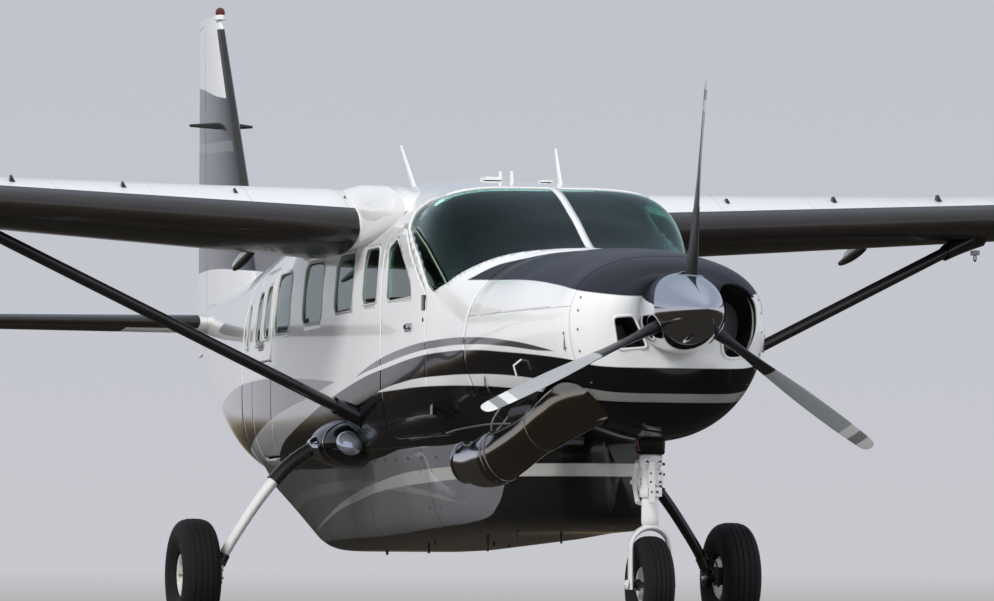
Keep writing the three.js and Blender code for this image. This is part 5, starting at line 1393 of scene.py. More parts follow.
# root sleeves: the dark heated boots round each blade's shank
shank = bladeGrid[places < 0.60]
middle = shank.mean(1, keepdims=True) * [0, 0, 1]
reach = np.linalg.norm(shank - middle, axis=2, keepdims=True)
sleeve = grid(middle + (shank - middle) * (1 + 0.0028 / np.maximum(reach, 0.01)), closed=True)
bladeBoot = rubber("bladeBoot", (0.012, 0.012, 0.013), 0.35, 0.1, 0.3)
makePiece("blade_boots", [roundHub(sleeve, turn) for turn in bladeTurns], bladeBoot, "propeller",
          smooth=60)
repaint(castingFinish, "engine_block")
print("nose ready")
# the cargo pod: rounded sections that widen towards the top, with straight lines between the table's rows, cut off by
# the belly
podRows = np.array([[1700, 90, 700, 1070], [1740, 190, 645, 1080], [1900, 305, 615, 1100], [2200, 385, 606, 1130],
                    [2600, 485, 605, 1150], [3100, 590, 603, 1150], [3600, 660, 592, 1150], [4100, 695, 576, 1150],
                    [5000, 702, 554, 1150], [6000, 702, 530, 1150], [6560, 702, 527, 1150], [6700, 696, 552, 1150],
                    [7850, 650, 900, 1160]]) * mm
pod = {"waist": 0.72, "square": 7.0, "flare": 0.22, "lift": 0.10}


# a pod's section: the superellipse of its power about a waist, drawn up near the top and widened upwards
def podPoints(stations, angles, inset=0.0):
    w, low, high = (straightRows(podRows, stations)[:, k, None] for k in range(3))
    c, s = np.cos(angles)[None], np.sin(angles)[None]
    reach = (np.abs(c) ** pod["square"] + np.abs(s) ** pod["square"]) ** (1 / pod["square"])
    waist = low + pod["waist"] * (high - low)
    height = np.where(s > 0, high - waist, waist - low)
    z = waist + height * s / reach
    z = z + pod["lift"] * np.clip((z - waist) / (high - waist), 0, 1) ** 2
    wide = 1 + pod["flare"] * ((z - low) / (high - low) - pod["waist"])
    x = wide * (w - inset) * c / reach
    return np.stack([x, np.broadcast_to(stations[:, None] - noseTip, x.shape), z], -1)


podPlaces = np.concatenate([np.array([1.700, 1.706, 1.715, 1.727, 1.740]), np.linspace(1.76, 7.85, 150)])
podTurns = -np.arange(160) / 160 * tau + 1e-4
podGrid = podPoints(podPlaces, podTurns)
podPart = together(grid(podGrid, closed=True), fan(podGrid[0], True), fan(podGrid[-1]))
podPart = clearOfBody(podPart, -0.004)
makePiece("pod_skin", podPart, podFinish, replaces=["cargo_pod"], smooth=50)
print("pod ready")
# landing gear: sleeved main legs, brakes, grooved tyres, dished rims, the nose leg with its links and fork
gear = {
    "mainY": -1.185, "mainX": 1.78, "mainZ": 0.357, "noseY": -5.235, "noseZ": 0.284,
    "leg": millimetres([770, 1200], [960, 1180], [1160, 1060], [1330, 870], [1490, 640], [1590, 470], [1635, 357]),
    "sleeveEnd": 0.945, "coverX": 0.745, "coverZ": 1.196,
    "main": {"radius": 0.357, "half": 0.122, "bead": 0.140, "bore": 0.030},
    "nose": {"radius": 0.284, "half": 0.088, "bead": 0.104, "bore": 0.020},
}


# a tyre's profile (radius, x): the sidewall's table mirrored, with grooves sunk in the tread
def tyrePart(size, centre, sides=144, grooves=(-0.46, -0.16, 0.16, 0.46)):
    r0, r1, w = size["bead"], size["radius"], size["half"]
    wall = r1 - r0
    side = np.array([[r0, 0.60 * w], [r0 + 0.02 * wall, 0.70 * w], [r0 + 0.16 * wall, 0.84 * w],
                     [r0 + 0.35 * wall, 0.965 * w], [r0 + 0.55 * wall, 0.998 * w],
                     [r0 + 0.70 * wall, 0.955 * w], [r0 + 0.83 * wall, 0.845 * w], [r0 + 0.93 * wall, 0.66 * w],
                     [r0 + 0.985 * wall, 0.38 * w], [r1 - 0.0003, 0.0]])
    one = smoothPath(side, 150)
    both = np.concatenate([one, (one * [1, -1])[::-1][1:]])
    x = both[:, 1] / w
    depth = sum(np.clip(1 - (np.abs(x - g) / 0.055) ** 4, 0, 1) for g in grooves) * 0.0065
    depth = np.where(both[:, 0] > r0 + 0.8 * wall, depth, 0)
    ribs = (0.22, 0.30)
    rib = 0.0016 * sum(np.exp(-((both[:, 0] - r0 - at * wall) / 0.0022) ** 2) for at in ribs) * np.sign(both[:, 1])
    both = np.column_stack([both[:, 0] - depth, both[:, 1] + rib])
    inner = np.array([[r0 + 0.0005, -0.58 * w], [r0 + 0.0005, 0.58 * w]])
    return turned(lathe(np.concatenate([both, inner]), centre, (1, 0, 0), sides, closed=True))


# a rim: flanges, a dished web and a hub, as a profile (radius, x) mirrored and turned about the axle
def rimPart(size, centre):
    r, w, bore = size["bead"], 0.6 * size["half"], size["bore"]
    rows = np.array([[bore + 0.0005, 0.64], [bore + 0.018, 0.64], [bore + 0.022, 0.52], [bore + 0.030, 0.40],
                     [0.66 * r, 0.26], [0.78 * r, 0.34], [0.84 * r, 0.60],
                     [0.87 * r, 0.93], [0.90 * r, 1.0], [0.975 * r, 1.03], [r - 0.0004, 0.98],
                     [r - 0.0006, 0.6]]) * [1, w]
    outer = smoothPath(rows, 60)
    ring = np.concatenate([outer, (outer * [1, -1])[::-1]])
    return turned(lathe(ring, centre, (1, 0, 0), 96, closed=True))


def ringOf(centre, axis, radius, count, start=0.0):
    t = np.arange(count) / count * tau + start
    if axis == "x":
        return np.stack([np.full(count, centre[0]), centre[1] + radius * np.cos(t), centre[2] + radius * np.sin(t)], -1)
    return np.stack([centre[0] + radius * np.cos(t), np.full(count, centre[1]), centre[2] + radius * np.sin(t)], -1)


def bolt(place, axis, radius=0.008, high=0.008, sides=6):
    return lathe([[0.0004, high], [radius * 0.8, high], [radius, high * 0.72], [radius, -0.001]][::-1], place,
                 axis, sides)


def wheel(name, size, centre, body, boltCount, out):
    kind, _, hand = name.partition("_")
    tyreNode, rimNode = (f"{kind}_{what}" + (f"_{hand}" if hand else "") for what in ("tyre", "rim"))
    makePiece(f"{name}_tyre_skin", tyrePart(size, centre), tyreFinish, body, [tyreNode], smooth=55)
    makePiece(f"{name}_rim_skin", rimPart(size, centre), rimFinish, body, [rimNode])
    x, y, z = centre
    half, bead = 0.6 * size["half"], size["bead"]
    parts = [bolt(place, (side, 0, 0), 0.0075, 0.010) for side in (-1, 1)
             for place in ringOf((x + side * half * 0.27, y, z), "x", 0.60 * bead, boltCount)]
    parts.append(tube([[x + out * 0.02, y + 0.8 * bead, z], [x + out * half, y + 0.8 * bead, z + 0.004]], 0.0045, 8))
    makePiece(f"{name}_wheel_bolts", parts, steel, body, smooth=35)


# the two angles of an egg: from end to end, and round it
def eggTurns(rows, columns, way=-1):
    return np.linspace(0, math.pi, rows)[:, None], way * np.arange(columns)[None] / columns * tau


def handed(part, side):
    return part if side > 0 else turned(part)


for name, side in hands:
    centre = (side * gear["mainX"], gear["mainY"], gear["mainZ"])
    wheel(f"main_{name}", gear["main"], centre, f"main_wheel_{name}", 9, side)
    leg = gear["leg"]
    path = smoothPath(np.stack([side * leg[:, 0], np.full(len(leg), gear["mainY"]), leg[:, 1]], -1), 90)
    low = path[path[:, 2] < gear["sleeveEnd"] + 0.03]
    taper = np.linspace(0.036, 0.031, len(low))
    legPart = tube(low, taper, 28, up=(0, 1, 0), flat=1.42)
    axle = lathe([[0.001, 1.60], [0.052, 1.60], [0.062, 1.606], [0.062, 1.642], [0.040, 1.648], [0.0296, 1.650],
                  [0.0296, 1.836], [0.001, 1.840]], (0, centre[1], centre[2]), (side, 0, 0), 40)
    makePiece(f"main_leg_skin_{name}", [legPart, axle], glossWhite if name == "right" else strutFinish,
              replaces=[f"main_leg_{name}"], smooth=50)
    high = path[path[:, 2] > gear["sleeveEnd"]]
    share = np.linspace(0, 1, len(high))
    girth = 0.050 - 0.006 * share + 0.004 * np.exp(-((share - 0.985) / 0.012) ** 2)
    girth = girth + 0.0012 * np.sin(share * 60) * (share > 0.25) * (share < 0.75)
    sleeve = clearOfBody(tube(high, girth, 28, up=(0, 1, 0), flat=1.22), -0.02)
    sleeveRubber = rubber(f"legSleeve_{name}", (0.016, 0.014, 0.013), 0.26, 0.12, 0.5)
    makePiece(f"main_leg_sleeve_{name}", sleeve, sleeveRubber, smooth=60)
    # the streamlined cover at the leg's root, its polished cap in pale blue silver as a painted reflection of the sky,
    # its collar, and the bright line round it
    t, q = eggTurns(40, 64, 1)
    cover = np.broadcast_arrays(side * (gear["coverX"] + 0.262 * np.sin(t) * np.cos(q)),
                                gear["mainY"] - 0.02 - 0.46 * np.cos(t), gear["coverZ"] + 0.163 * np.sin(t) * np.sin(q))
    cover = clearOfBody(handed(grid(np.stack(cover, -1), closed=True), side), -0.01)
    makePiece(f"leg_cover_{name}", cover, glossBlack, smooth=60)
    t, q = eggTurns(30, 48)
    high = 0.078 * np.sin(t) * np.sin(q)
    knob = np.broadcast_arrays(side * (0.868 + 0.086 * np.sin(t) * np.cos(q)),
                               gear["mainY"] - 0.410 - 0.090 * np.cos(t) + 0.5 * high, 1.190 + high)
    makePiece(f"leg_cap_{name}", handed(grid(np.stack(knob, -1), closed=True), side), capSkyReflection,
              smooth=60)
    collar = smoothPath([[0.078, -0.06], [0.080, 0.0], [0.079, 0.030], [0.074, 0.065], [0.064, 0.092], [0.052, 0.103],
                         [0.001, 0.105]], 30)
    collar = lathe(np.maximum(collar, [[0.0005, -1]]), (side * 0.935, gear["mainY"] - 0.03, 1.180),
                   (side, -0.05, -0.25), 48)
    makePiece(f"leg_collar_{name}", collar, chrome, smooth=60)
    bead = ringOf((0, 0, 0), "y", 1.0, 60)
    line = np.stack([side * (gear["coverX"] + 0.2455 * bead[:, 0]), np.full(60, gear["mainY"] - 0.20),
                     gear["coverZ"] + 0.1535 * bead[:, 2]], -1)
    line = line[np.abs(line[:, 0]) > 0.72]
    makePiece(f"leg_cover_bead_{name}", tube(line[np.argsort(line[:, 2])], 0.0042, 8), chrome,
              smooth=60)
    # brake: a disc on the wheel, and a caliper with its bracket and line on the leg
    inner, y, z = side * (gear["mainX"] - 0.078), gear["mainY"], gear["mainZ"]
    disc = [[0.062, -0.005], [0.126, -0.005], [0.126, 0.005], [0.062, 0.005]]
    makePiece(f"brake_disc_{name}", turned(lathe(disc, (inner, y, z), (1, 0, 0), 72, closed=True)), steel,
              f"main_wheel_{name}", smooth=35)
    caliper = [block((0.034, 0.074, 0.115), (inner - side * 0.030, y - 0.104, z + 0.010)),
               block((0.012, 0.085, 0.120), (inner - side * 0.052, y - 0.098, z + 0.010)),
               block((0.020, 0.110, 0.040), (inner - side * 0.050, y - 0.055, z + 0.004))]
    for dz in (-0.035, 0.045):
        caliper.append(bolt((inner - side * 0.058, y - 0.115, z + dz), (-side, 0, 0), 0.009, 0.014))
    makePiece(f"brake_caliper_{name}", caliper, darkSteel, bevel=0.003, smooth=30)
    bracket = [bolt(place, (-side, 0, 0), 0.0065, 0.010) for place in ringOf((side * 1.6035, y, z), "x", 0.048, 6, 0.4)]
    knuckle = path[(path[:, 2] < 0.49) & (path[:, 2] > 0.42)]
    bracket.append(tube(knuckle, 0.0385, 20, up=(0, 1, 0), flat=1.40))
    for dz in (-0.02, 0.03):
        bracket.append(bolt(knuckle[len(knuckle) // 2] + [0, -0.058, dz], (0, -1, 0), 0.010, 0.012))
    makePiece(f"leg_knuckle_{name}", bracket, darkSteel)
    hose = smoothPath([path[40] + [side * 0.012, 0.066, 0.0], path[58] + [side * 0.012, 0.062, 0.0],
                       path[74] + [-side * 0.006, 0.050, -0.01],
                       (inner - side * 0.055, y - 0.10, z + 0.10), (inner - side * 0.045, y - 0.104, z + 0.066)], 60)
    makePiece(f"brake_line_{name}", tube(hose, 0.0052, 10), rubber(f"brakeLine_{name}", (0.02, 0.02, 0.02), 0.4),
              smooth=60)

# nose leg: the dark housing, then everything that steers with the wheel
leg0 = np.array([0.0, gear["noseY"], 0.0])
housing = smoothPath([[0.100, 1.560], [0.099, 1.42], [0.096, 1.25], [0.090, 1.12], [0.086, 1.062], [0.082, 1.042],
                      [0.050, 1.040]], 40)[::-1]
makePiece("nose_leg_skin", lathe(housing, leg0, (0, 0, 1), 48), glossBlack, replaces=["nose_leg"],
          smooth=45)
nz, ny = gear["noseZ"], gear["noseY"]
arcTurn = np.linspace(0, math.pi, 40)
arch = np.concatenate([np.stack([np.full(14, 0.117), np.full(14, ny), np.linspace(nz - 0.028, 0.485, 14)], -1),
                       np.stack([0.117 * np.cos(arcTurn), np.full(40, ny), 0.500 + 0.117 * np.sin(arcTurn)], -1),
                       np.stack([np.full(14, -0.117), np.full(14, ny), np.linspace(0.485, nz - 0.028, 14)], -1)])
wide = 0.0128 + 0.006 * np.clip((arch[:, 2] - 0.56) / 0.06, 0, 1)
forkParts = [tube(arch, wide, 20, up=(0, 1, 0), flat=2.7)]
stem = smoothPath([[0.040, 0.620], [0.050, 0.640], [0.051, 0.70], [0.050, 0.76], [0.046, 0.80]], 16)
forkParts.append(lathe(stem, leg0, (0, 0, 1), 40))
barrel = np.array([[0.030, 0.79], [0.058, 0.792], [0.062, 0.80], [0.062, 0.838], [0.056, 0.846], [0.052, 0.86],
                   [0.052, 0.955], [0.060, 0.965], [0.063, 0.972], [0.063, 1.028], [0.056, 1.0385], [0.030, 1.0392]])
forkParts.append(lathe(barrel, leg0, (0, 0, 1), 48))
makePiece("nose_fork_skin", forkParts, glossWhite, "nose_steering", ["nose_fork"], smooth=45)
fittings = [block((0.094, 0.020, 0.085), (0.012, ny - 0.060, 0.905)),
            block((0.080, 0.026, 0.052), (0.010, ny - 0.062, 0.822)),
            block((0.110, 0.030, 0.040), (0.0, ny - 0.050, 0.998)),
            block((0.036, 0.020, 0.240), (-0.012, ny - 0.072, 0.880)),
            block((0.070, 0.120, 0.030), (-0.010, ny + 0.060, 1.000)),
            block((0.060, 0.100, 0.026), (-0.010, ny + 0.055, 0.760))]
for side in (-1, 1):
    fittings.append(lathe([[0.001, 0.0], [0.028, 0.0], [0.030, 0.006], [0.030, 0.012], [0.024, 0.018], [0.012, 0.020],
                           [0.012, 0.028], [0.001, 0.029]], (side * 0.1305, ny, nz), (side, 0, 0), 24))
    fittings.append(block((0.012, 0.090, 0.016), (side * 0.045, ny + 0.10, 0.985), spun(0.2, "x")))
makePiece("nose_leg_fittings", fittings, glossWhite, "nose_steering", bevel=0.0025, smooth=30)
# links behind the leg: upper and lower arms meeting at a knee
knee = np.array([-0.035, ny + 0.185, 0.885])
links = []
for start in ((-0.03, ny + 0.05, 1.000), (-0.03, ny + 0.05, 0.762)):
    for off in (-0.028, 0.028):
        a, b = np.array(start) + [off, 0, 0], knee + [off * 0.35, 0, 0]
        links.append(tube(np.stack([a, a * 0.5 + b * 0.5, b]), [0.013, 0.011, 0.010], 12, up=(1, 0, 0), flat=1.3))
links.append(tube(np.stack([knee - [0.03, 0, 0], knee + [0.03, 0, 0]]), 0.013, 16))
makePiece("nose_links", links, glossWhite, "nose_steering", smooth=45)
frontBolts = ((-0.020, 0.930), (0.040, 0.930), (-0.020, 0.880), (0.040, 0.880), (0.022, 0.822), (-0.014, 0.822),
              (-0.04, 0.998), (0.04, 0.998))
bolts = [bolt((x, ny - 0.0735, z), (0, -1, 0), 0.0075, 0.010) for x, z in frontBolts]
bolts += [bolt((0.062, ny - 0.030, z), (1, 0, 0), 0.009, 0.018) for z in (0.985, 0.925, 0.840)]
makePiece("nose_leg_bolts", bolts, darkSteel, "nose_steering", smooth=30)
axle = lathe([[0.001, -0.130], [0.0196, -0.130], [0.0196, 0.130], [0.001, 0.130]], (0, ny, nz), (1, 0, 0), 28)
spacers = [lathe([[0.0205, a], [0.034, a], [0.034, a + 0.026], [0.0205, a + 0.026]], (0, ny, nz), (1, 0, 0), 28)
           for a in (-0.088, 0.062)]
makePiece("nose_axle", [axle, *spacers], darkSteel, "nose_steering", smooth=30)
wheel("nose", gear["nose"], (0.0, ny, nz), "nose_wheel", 6, -1)
# the tow pin's two plates and its short strap, fixed beside the housing
tag = [block((0.052, 0.006, 0.075), (-0.098, ny - 0.030, 1.235), spun(0.10, "y")),
       block((0.034, 0.006, 0.060), (-0.092, ny - 0.030, 1.165), spun(0.14, "y"))]
makePiece("pin_tag", tag, glossWhite, bevel=0.002, smooth=30)
strap = smoothPath([[-0.090, ny - 0.031, 1.14], [-0.084, ny - 0.034, 1.10], [-0.078, ny - 0.034, 1.062]], 14)
makePiece("pin_strap", tube(strap, 0.0085, 10, up=(1, 0, 0), flat=0.25), redCloth, smooth=60)
print("gear ready")
# small fittings; places on the fuselage are (station, height) on a side
def onSide(s, z, side, out=0.0):
    return np.array([side * (halfWidthAt(s, z)[0] + out), s - noseTip, z])


# the roof's height at a place: the section's upper curve solved for z
def roofAt(s, x=0.0):
    w, _, high, waist, roof, _ = smoothRows(bodyRows, np.array([s]))[0]
    return waist + (high - waist) * max(1 - (abs(x) / w) ** roof, 0) ** (1 / roof)


# a thin upright blade: root and tip (y, z, chord, thickness) at one x, with an oval section
def bladeUp(x, root, tip, count=12):
    share = np.linspace(0, 1, count)[:, None]
    row = np.array(root) + (np.array(tip) - root) * share
    t = np.arange(20) / 20 * tau
    ring = np.stack([x + row[:, 3:4] / 2 * np.sin(t), row[:, 0:1] + row[:, 2:3] / 2 * np.cos(t),
                     row[:, 1:2] + 0 * t], -1)
    top = np.broadcast_to(ring[-1].mean(0), ring[-1].shape)
    return grid(np.concatenate([ring, top[None]]), closed=True)


aerials = [bladeUp(-0.28, (-0.985, roofAt(5.36, 0.24) - 0.01, 0.10, 0.028), (-0.60, 3.150, 0.042, 0.013)),
           bladeUp(0.30, (-2.315, roofAt(4.03, 0.3) - 0.01, 0.08, 0.024), (-2.20, 3.035, 0.035, 0.012)),
           bladeUp(-0.015, (-2.05, roofAt(4.30) - 0.01, 0.06, 0.022), (-2.04, 2.895, 0.050, 0.018)),
           bladeUp(0.045, (-2.10, roofAt(4.25) - 0.01, 0.06, 0.022), (-2.09, 2.893, 0.050, 0.018)),
           block((0.10, 0.13, 0.020), (-0.075, -2.03, roofAt(4.31) + 0.012)),
           block((0.075, 0.09, 0.012), (0.235, -2.20, roofAt(4.15, 0.235) + 0.006))]
makePiece("aerials", aerials, glossWhite)
# small dark tabs along the top of the leading edge
wedge = np.array([[-0.018, -0.03, -0.02], [0.024, -0.03, -0.02], [-0.006, -0.03, 0.036], [-0.018, 0.03, -0.02],
                  [0.024, 0.03, -0.02], [-0.006, 0.03, 0.036]])
wedgeFaces = np.array([[0, 2, 1], [3, 4, 5], [0, 1, 4], [0, 4, 3], [1, 2, 5], [1, 5, 4], [2, 0, 3], [2, 3, 5]])
tabPlaces = ((0.91, 2.712), (1.62, 2.747), (2.34, 2.774), (3.05, 2.800), (3.9, 2.84))
tabs = [(wedge + [side * x, -1.60, lift], wedgeFaces) for x, lift in tabPlaces for side in (1, -1)]
makePiece("wing_tabs", tabs, satinBlack, smooth=30)
# flap brackets: a drop-shaped cover under each flap, riding with it
for name, side in hands:
    covers = []
    for x in (1.20, 2.95, 4.70):
        t, q = eggTurns(22, 24)
        hingeY, hingeZ = -0.4438 - 0.0536 * (x - 0.985), 2.516 + 0.0595 * (x - 0.985)
        along = (1 - np.cos(t)) / 2
        # the innermost one on the left stays clear of the cargo door
        length = 0.44 if name == "left" and x < 2 else 0.62
        fat = np.sin(t) ** 0.7 * (1.0 - 0.25 * along)
        shape = np.broadcast_arrays(side * x + 0.026 * fat * np.cos(q), hingeY + 0.05 + length * along,
                                    hingeZ - 0.045 - 0.105 * along + 0.060 * fat * np.sin(q))
        covers.append(grid(np.stack(shape, -1), closed=True))
    makePiece(f"flap_covers_{name}", covers, wingFinish, f"flap_{name}", smooth=60)
# guidance aerials on both sides of the fin, the beacon, wing-tip and tail lights
rods = []
for side in (1, -1):
    path = smoothPath([[side * 0.028, 5.50, 3.712], [side * 0.12, 5.56, 3.716], [side * 0.232, 5.66, 3.722]], 12)
    rods.append(tube(path, np.linspace(0.034, 0.013, 12), 14, up=(0, 0, 1), flat=0.8))
makePiece("fin_aerials", rods, satinBlack, smooth=60)
dome = smoothPath([[0.034, 0.0], [0.036, 0.016], [0.033, 0.034], [0.020, 0.050], [0.0006, 0.056]], 20)
makePiece("beacon_base", lathe([[0.042, -0.03], [0.042, 0.002], [0.034, 0.006]], (0, 5.700, 4.545), (0, 0, 1), 32),
          glossWhite, smooth=50)
beaconLens = plainPaint("beaconLens", (0.10, 0.008, 0.008), 0.08, coat=0.9, grime=0.0)
makePiece("beacon", lathe(dome, (0, 5.700, 4.551), (0, 0, 1), 32), beaconLens, smooth=60)
for name, side, lens in (("left", 1, redGlass), ("right", -1, greenGlass)):
    drop = smoothPath([[0.0006, 0.075], [0.014, 0.066], [0.024, 0.035], [0.027, 0.0], [0.024, -0.05], [0.010, -0.09],
                       [0.0006, -0.10]][::-1], 24)
    makePiece(f"tip_light_{name}", lathe(drop, (side * 7.925, -1.50, 2.895), (0, -1, 0), 24), lens, smooth=60)
makePiece("tail_light", lathe([[0.0006, 0.03], [0.012, 0.026], [0.018, 0.010], [0.019, -0.02]][::-1],
                              (0, 12.18 - noseTip, 2.18), (0, 1, 0), 24), clearGlass, smooth=60)
# tie-down rings beneath the struts' upper ends, on their own small plates
t = np.linspace(0, tau, 41)
for name, side in hands:
    ring = np.stack([np.full(41, side * 3.39), -1.36 + 0.022 * np.cos(t), 2.447 + 0.022 * np.sin(t)], -1)
    plate = block((0.04, 0.07, 0.030), (side * 3.39, -1.36, 2.480))
    makePiece(f"tie_down_{name}", [tube(ring, 0.0045, 8, up=(1, 0, 0), caps=False), plate], steel, smooth=45)
# door handles, locks and hinges
for name, side in hands:
    body = f"crew_door_{name}"
    high = onSide(3.36, 1.862, side)
    plate = block((0.006, 0.150, 0.050), high + [side * 0.002, 0, 0])
    lever = block((0.012, 0.115, 0.024), high + [side * 0.014, 0.012, 0.003], spun(0.12 * side, "z"))
    pin = lathe([[0.016, 0.0], [0.016, 0.012], [0.010, 0.016], [0.0006, 0.017]], high + [0, -0.050, 0],
                (side, 0, 0), 20)
    makePiece(f"door_handle_{name}", [plate, lever, pin], chrome, body, bevel=0.002, smooth=30)
    lock = lathe([[0.013, -0.002], [0.013, 0.002], [0.008, 0.004], [0.0006, 0.0042]], onSide(3.06, 1.895, side),
                 (side, 0, 0), 20)
    makePiece(f"door_lock_{name}", lock, darkSteel, body)
    hinges = [block((0.012, 0.055, 0.090), onSide(3.045, z, side) + [side * 0.003, 0, 0]) for z in (1.36, 2.00)]
    makePiece(f"door_hinges_{name}", hinges, glossBlack, body, bevel=0.003, smooth=30)
for name, body, s, z, side, wide in (("cargo", "cargo_door_lower", 7.52, 1.68, 1, 0.120),
                                     ("airstair", "airstair_upper", 7.27, 1.90, -1, 0.140)):
    place = onSide(s, z, side)
    plate = block((0.008, wide, 0.060), place + [side * 0.003, 0, 0])
    bar = block((0.012, 0.090 if side > 0 else 0.100, 0.018), place + [side * 0.012, 0, 0])
    makePiece(f"{name}_handle", [plate, bar], steel, body, bevel=0.002, smooth=30)
# cowl fasteners in rows beside the bowl's seam and the split line, and the latch strips
studPlaces = ((0.725, 1.93), (0.722, 1.855), (0.722, 1.746), (0.728, 1.621), (0.735, 1.530), (0.735, 1.440))
studShape = [[0.0075, -0.001], [0.0075, 0.0015], [0.005, 0.0028], [0.0006, 0.003]]
studs = [lathe(studShape, onSide(s, z, side), (side, -0.35, 0), 12) for side in (1, -1) for s, z in studPlaces]
makePiece("cowl_fasteners", studs, steel)
latches = []
for side in (1, -1):
    latches.append(block((0.004, 0.012, 0.105), onSide(0.835, 1.684, side) + [side * 0.001, 0, 0]))
    for z in (1.642, 1.728):
        latches.append(lathe([[0.009, -0.001], [0.009, 0.002], [0.0006, 0.003]], onSide(0.835, z, side),
                             (side, -0.1, 0), 14))
makePiece("cowl_latches", latches, steel, bevel=0.001, smooth=30)
# right side probes and pipes, under the cowl and ahead of the firewall
probe = tube([onSide(1.405, 1.600, -1, -0.01), onSide(1.42, 1.560, -1, 0.05), onSide(1.43, 1.500, -1, 0.055)],
             0.0065, 10)
makePiece("side_probe", probe, glossWhite, smooth=50)
drain = tube([onSide(2.02, 1.525, -1, -0.005), onSide(2.02, 1.47, -1, 0.022), onSide(2.02, 1.420, -1, 0.024)],
             0.0055, 10)
makePiece("side_drain", drain, steel, smooth=50)
pipePaths = (
    ([[-0.655, -4.36, 1.335], [-0.700, -4.345, 1.255], [-0.705, -4.335, 1.185], [-0.690, -4.330, 1.140]], 20, 0.008),
    ([[-0.600, -4.44, 1.32], [-0.660, -4.42, 1.235], [-0.700, -4.40, 1.185], [-0.720, -4.39, 1.150]], 20, 0.007),
    ([[-0.610, -4.72, 1.225], [-0.700, -4.35, 1.235], [-0.790, -3.95, 1.215], [-0.815, -3.72, 1.195]], 30, 0.0065),
)
makePiece("drain_pipes", [tube(smoothPath(points, count), radius, 12) for points, count, radius in pipePaths], steel,
          smooth=50)
scoop = smoothPath([[0.052, 0.0], [0.056, 0.004], [0.058, 0.02], [0.058, 0.15], [0.050, 0.22]], 24)
inner = smoothPath([[0.052, 0.0], [0.050, 0.02], [0.046, 0.06], [0.0006, 0.062]], 12)
outlet, outletAxis = (-0.640, -4.600, 1.270), (0.35, -0.9, 0.12)
makePiece("side_outlet", [lathe(scoop, outlet, outletAxis, 32), turned(lathe(inner, outlet, outletAxis, 32))],
          darkSteel, smooth=50)
# drain masts under the pod, and seams' fasteners along the pod's upper edge
masts = [tube([[-0.20, s - noseTip, 0.60], [-0.20, s - noseTip + 0.004, 0.505]], 0.009, 12) for s in (3.9, 5.3, 6.35)]
mastPlaces = ((2.9, -0.3), (3.3, 0.1), (4.6, -0.35), (4.65, 0.05), (5.0, 0.25))
masts += [tube([[x, s - noseTip, 0.60], [x, s - noseTip, 0.548]], 0.0075, 10) for s, x in mastPlaces]
makePiece("drain_masts", masts, darkSteel, smooth=50)
podStuds = []
for side in (1, -1):
    for s in np.arange(2.7, 7.6, 0.245):
        w, _, high = straightRows(podRows, np.array([s]))[0]
        place = (side * (w + 0.0005) * 1.04, s - noseTip, high - 0.075)
        podStuds.append(lathe([[0.007, -0.002], [0.007, 0.001], [0.0006, 0.002]], place, (side, 0, 0), 10))
makePiece("pod_fasteners", podStuds, darkSteel)
# fuel fillers on the wing tops
caps = []
for side in (1, -1):
    for x in (1.9, 5.9):
        s = 4.452 + 0.024 * (x - 0.88)
        chord = 1.966 + (1.245 - 1.966) * (x - 0.88) / 6.87
        place = (side * x, s + 0.35 * chord - noseTip, 2.546 + 0.0504 * (x - 0.88) + 0.082 * chord + 0.004)
        caps.append(lathe([[0.048, -0.03], [0.048, 0.002], [0.040, 0.005], [0.012, 0.006], [0.0006, 0.006]], place,
                          (0, 0, 1), 36))
makePiece("fuel_caps", caps, steel)
# the white root cover ahead of each wing
for name, side in hands:
    t, q = eggTurns(44, 64)
    cover = np.broadcast_arrays(side * (0.690 + 0.190 * np.sin(t) ** 0.75 * np.cos(q)),
                                4.62 - noseTip - 0.80 * np.cos(t), 2.610 + 0.188 * np.sin(t) ** 0.75 * np.sin(q))
    cover = clearOfBody(handed(grid(np.stack(cover, -1), closed=True), side))
    makePiece(f"root_cover_{name}", cover, glossWhite, smooth=60)
print("details ready")
# inside: floor, linings, bulkheads, instrument panel and padded seats
cabin = {"floor": 1.1495, "front": 2.312, "seatX": 0.380, "seatBase": 1.150}
stations = np.linspace(cabin["front"], 7.98, 60)
edge = np.array([halfWidthAt(s, cabin["floor"], 0.045)[0] for s in stations])
top = np.stack([np.stack([side * edge, stations - noseTip, np.full(60, cabin["floor"])], -1) for side in (-1, 1)], 1)
makePiece("cabin_carpet", grid(top), carpet, wall=0.012)
front, rear = (fan(bodyPoints(np.array([s]), turns, 0.036)[0]) for s in (2.318, 7.985))
makePiece("bulkheads", [front, turned(rear)], linerCloth, wall=0.006)
liner = turned(clip(clip(skinOf(2.34, 7.98, 0.08, 0.036), lambda v: v[:, 2] - 2.44),
                    lambda v: v[:, 1] + noseTip - 3.66))
makePiece("headliner_skin", liner, linerCloth, smooth=60)
# instrument panel: glare shield, face with three screens and rows of knobs, pedestal, two yokes
shield = []
wide = np.linspace(-0.60, 0.60, 40)
for y, z, drop in ((2.40, 2.055, 0.06), (2.70, 2.105, 0.06), (2.90, 2.118, 0.07), (2.985, 2.108, 0.07),
                   (3.000, 2.090, 0.07), (2.985, 2.070, 0.07)):
    shield.append(np.stack([wide * (0.72 + 0.28 * min((y - 2.2) / 0.6, 1)), np.full(40, y - noseTip),
                            z - drop * (np.abs(wide) / 0.6) ** 3], -1))
makePiece("glare_shield", turned(grid(np.array(shield))), satinBlack, replaces=["instrument_panel"],
          wall=0.012, smooth=60)
panel = [block((1.14, 0.050, 0.44), (0, 2.915 - noseTip, 1.845)), block((0.235, 0.40, 0.52), (0, 2.76 - noseTip, 1.41)),
         block((0.26, 0.30, 0.06), (0, 2.80 - noseTip, 1.70))]
makePiece("panel_face", panel, trimPlastic, bevel=0.008, smooth=30)
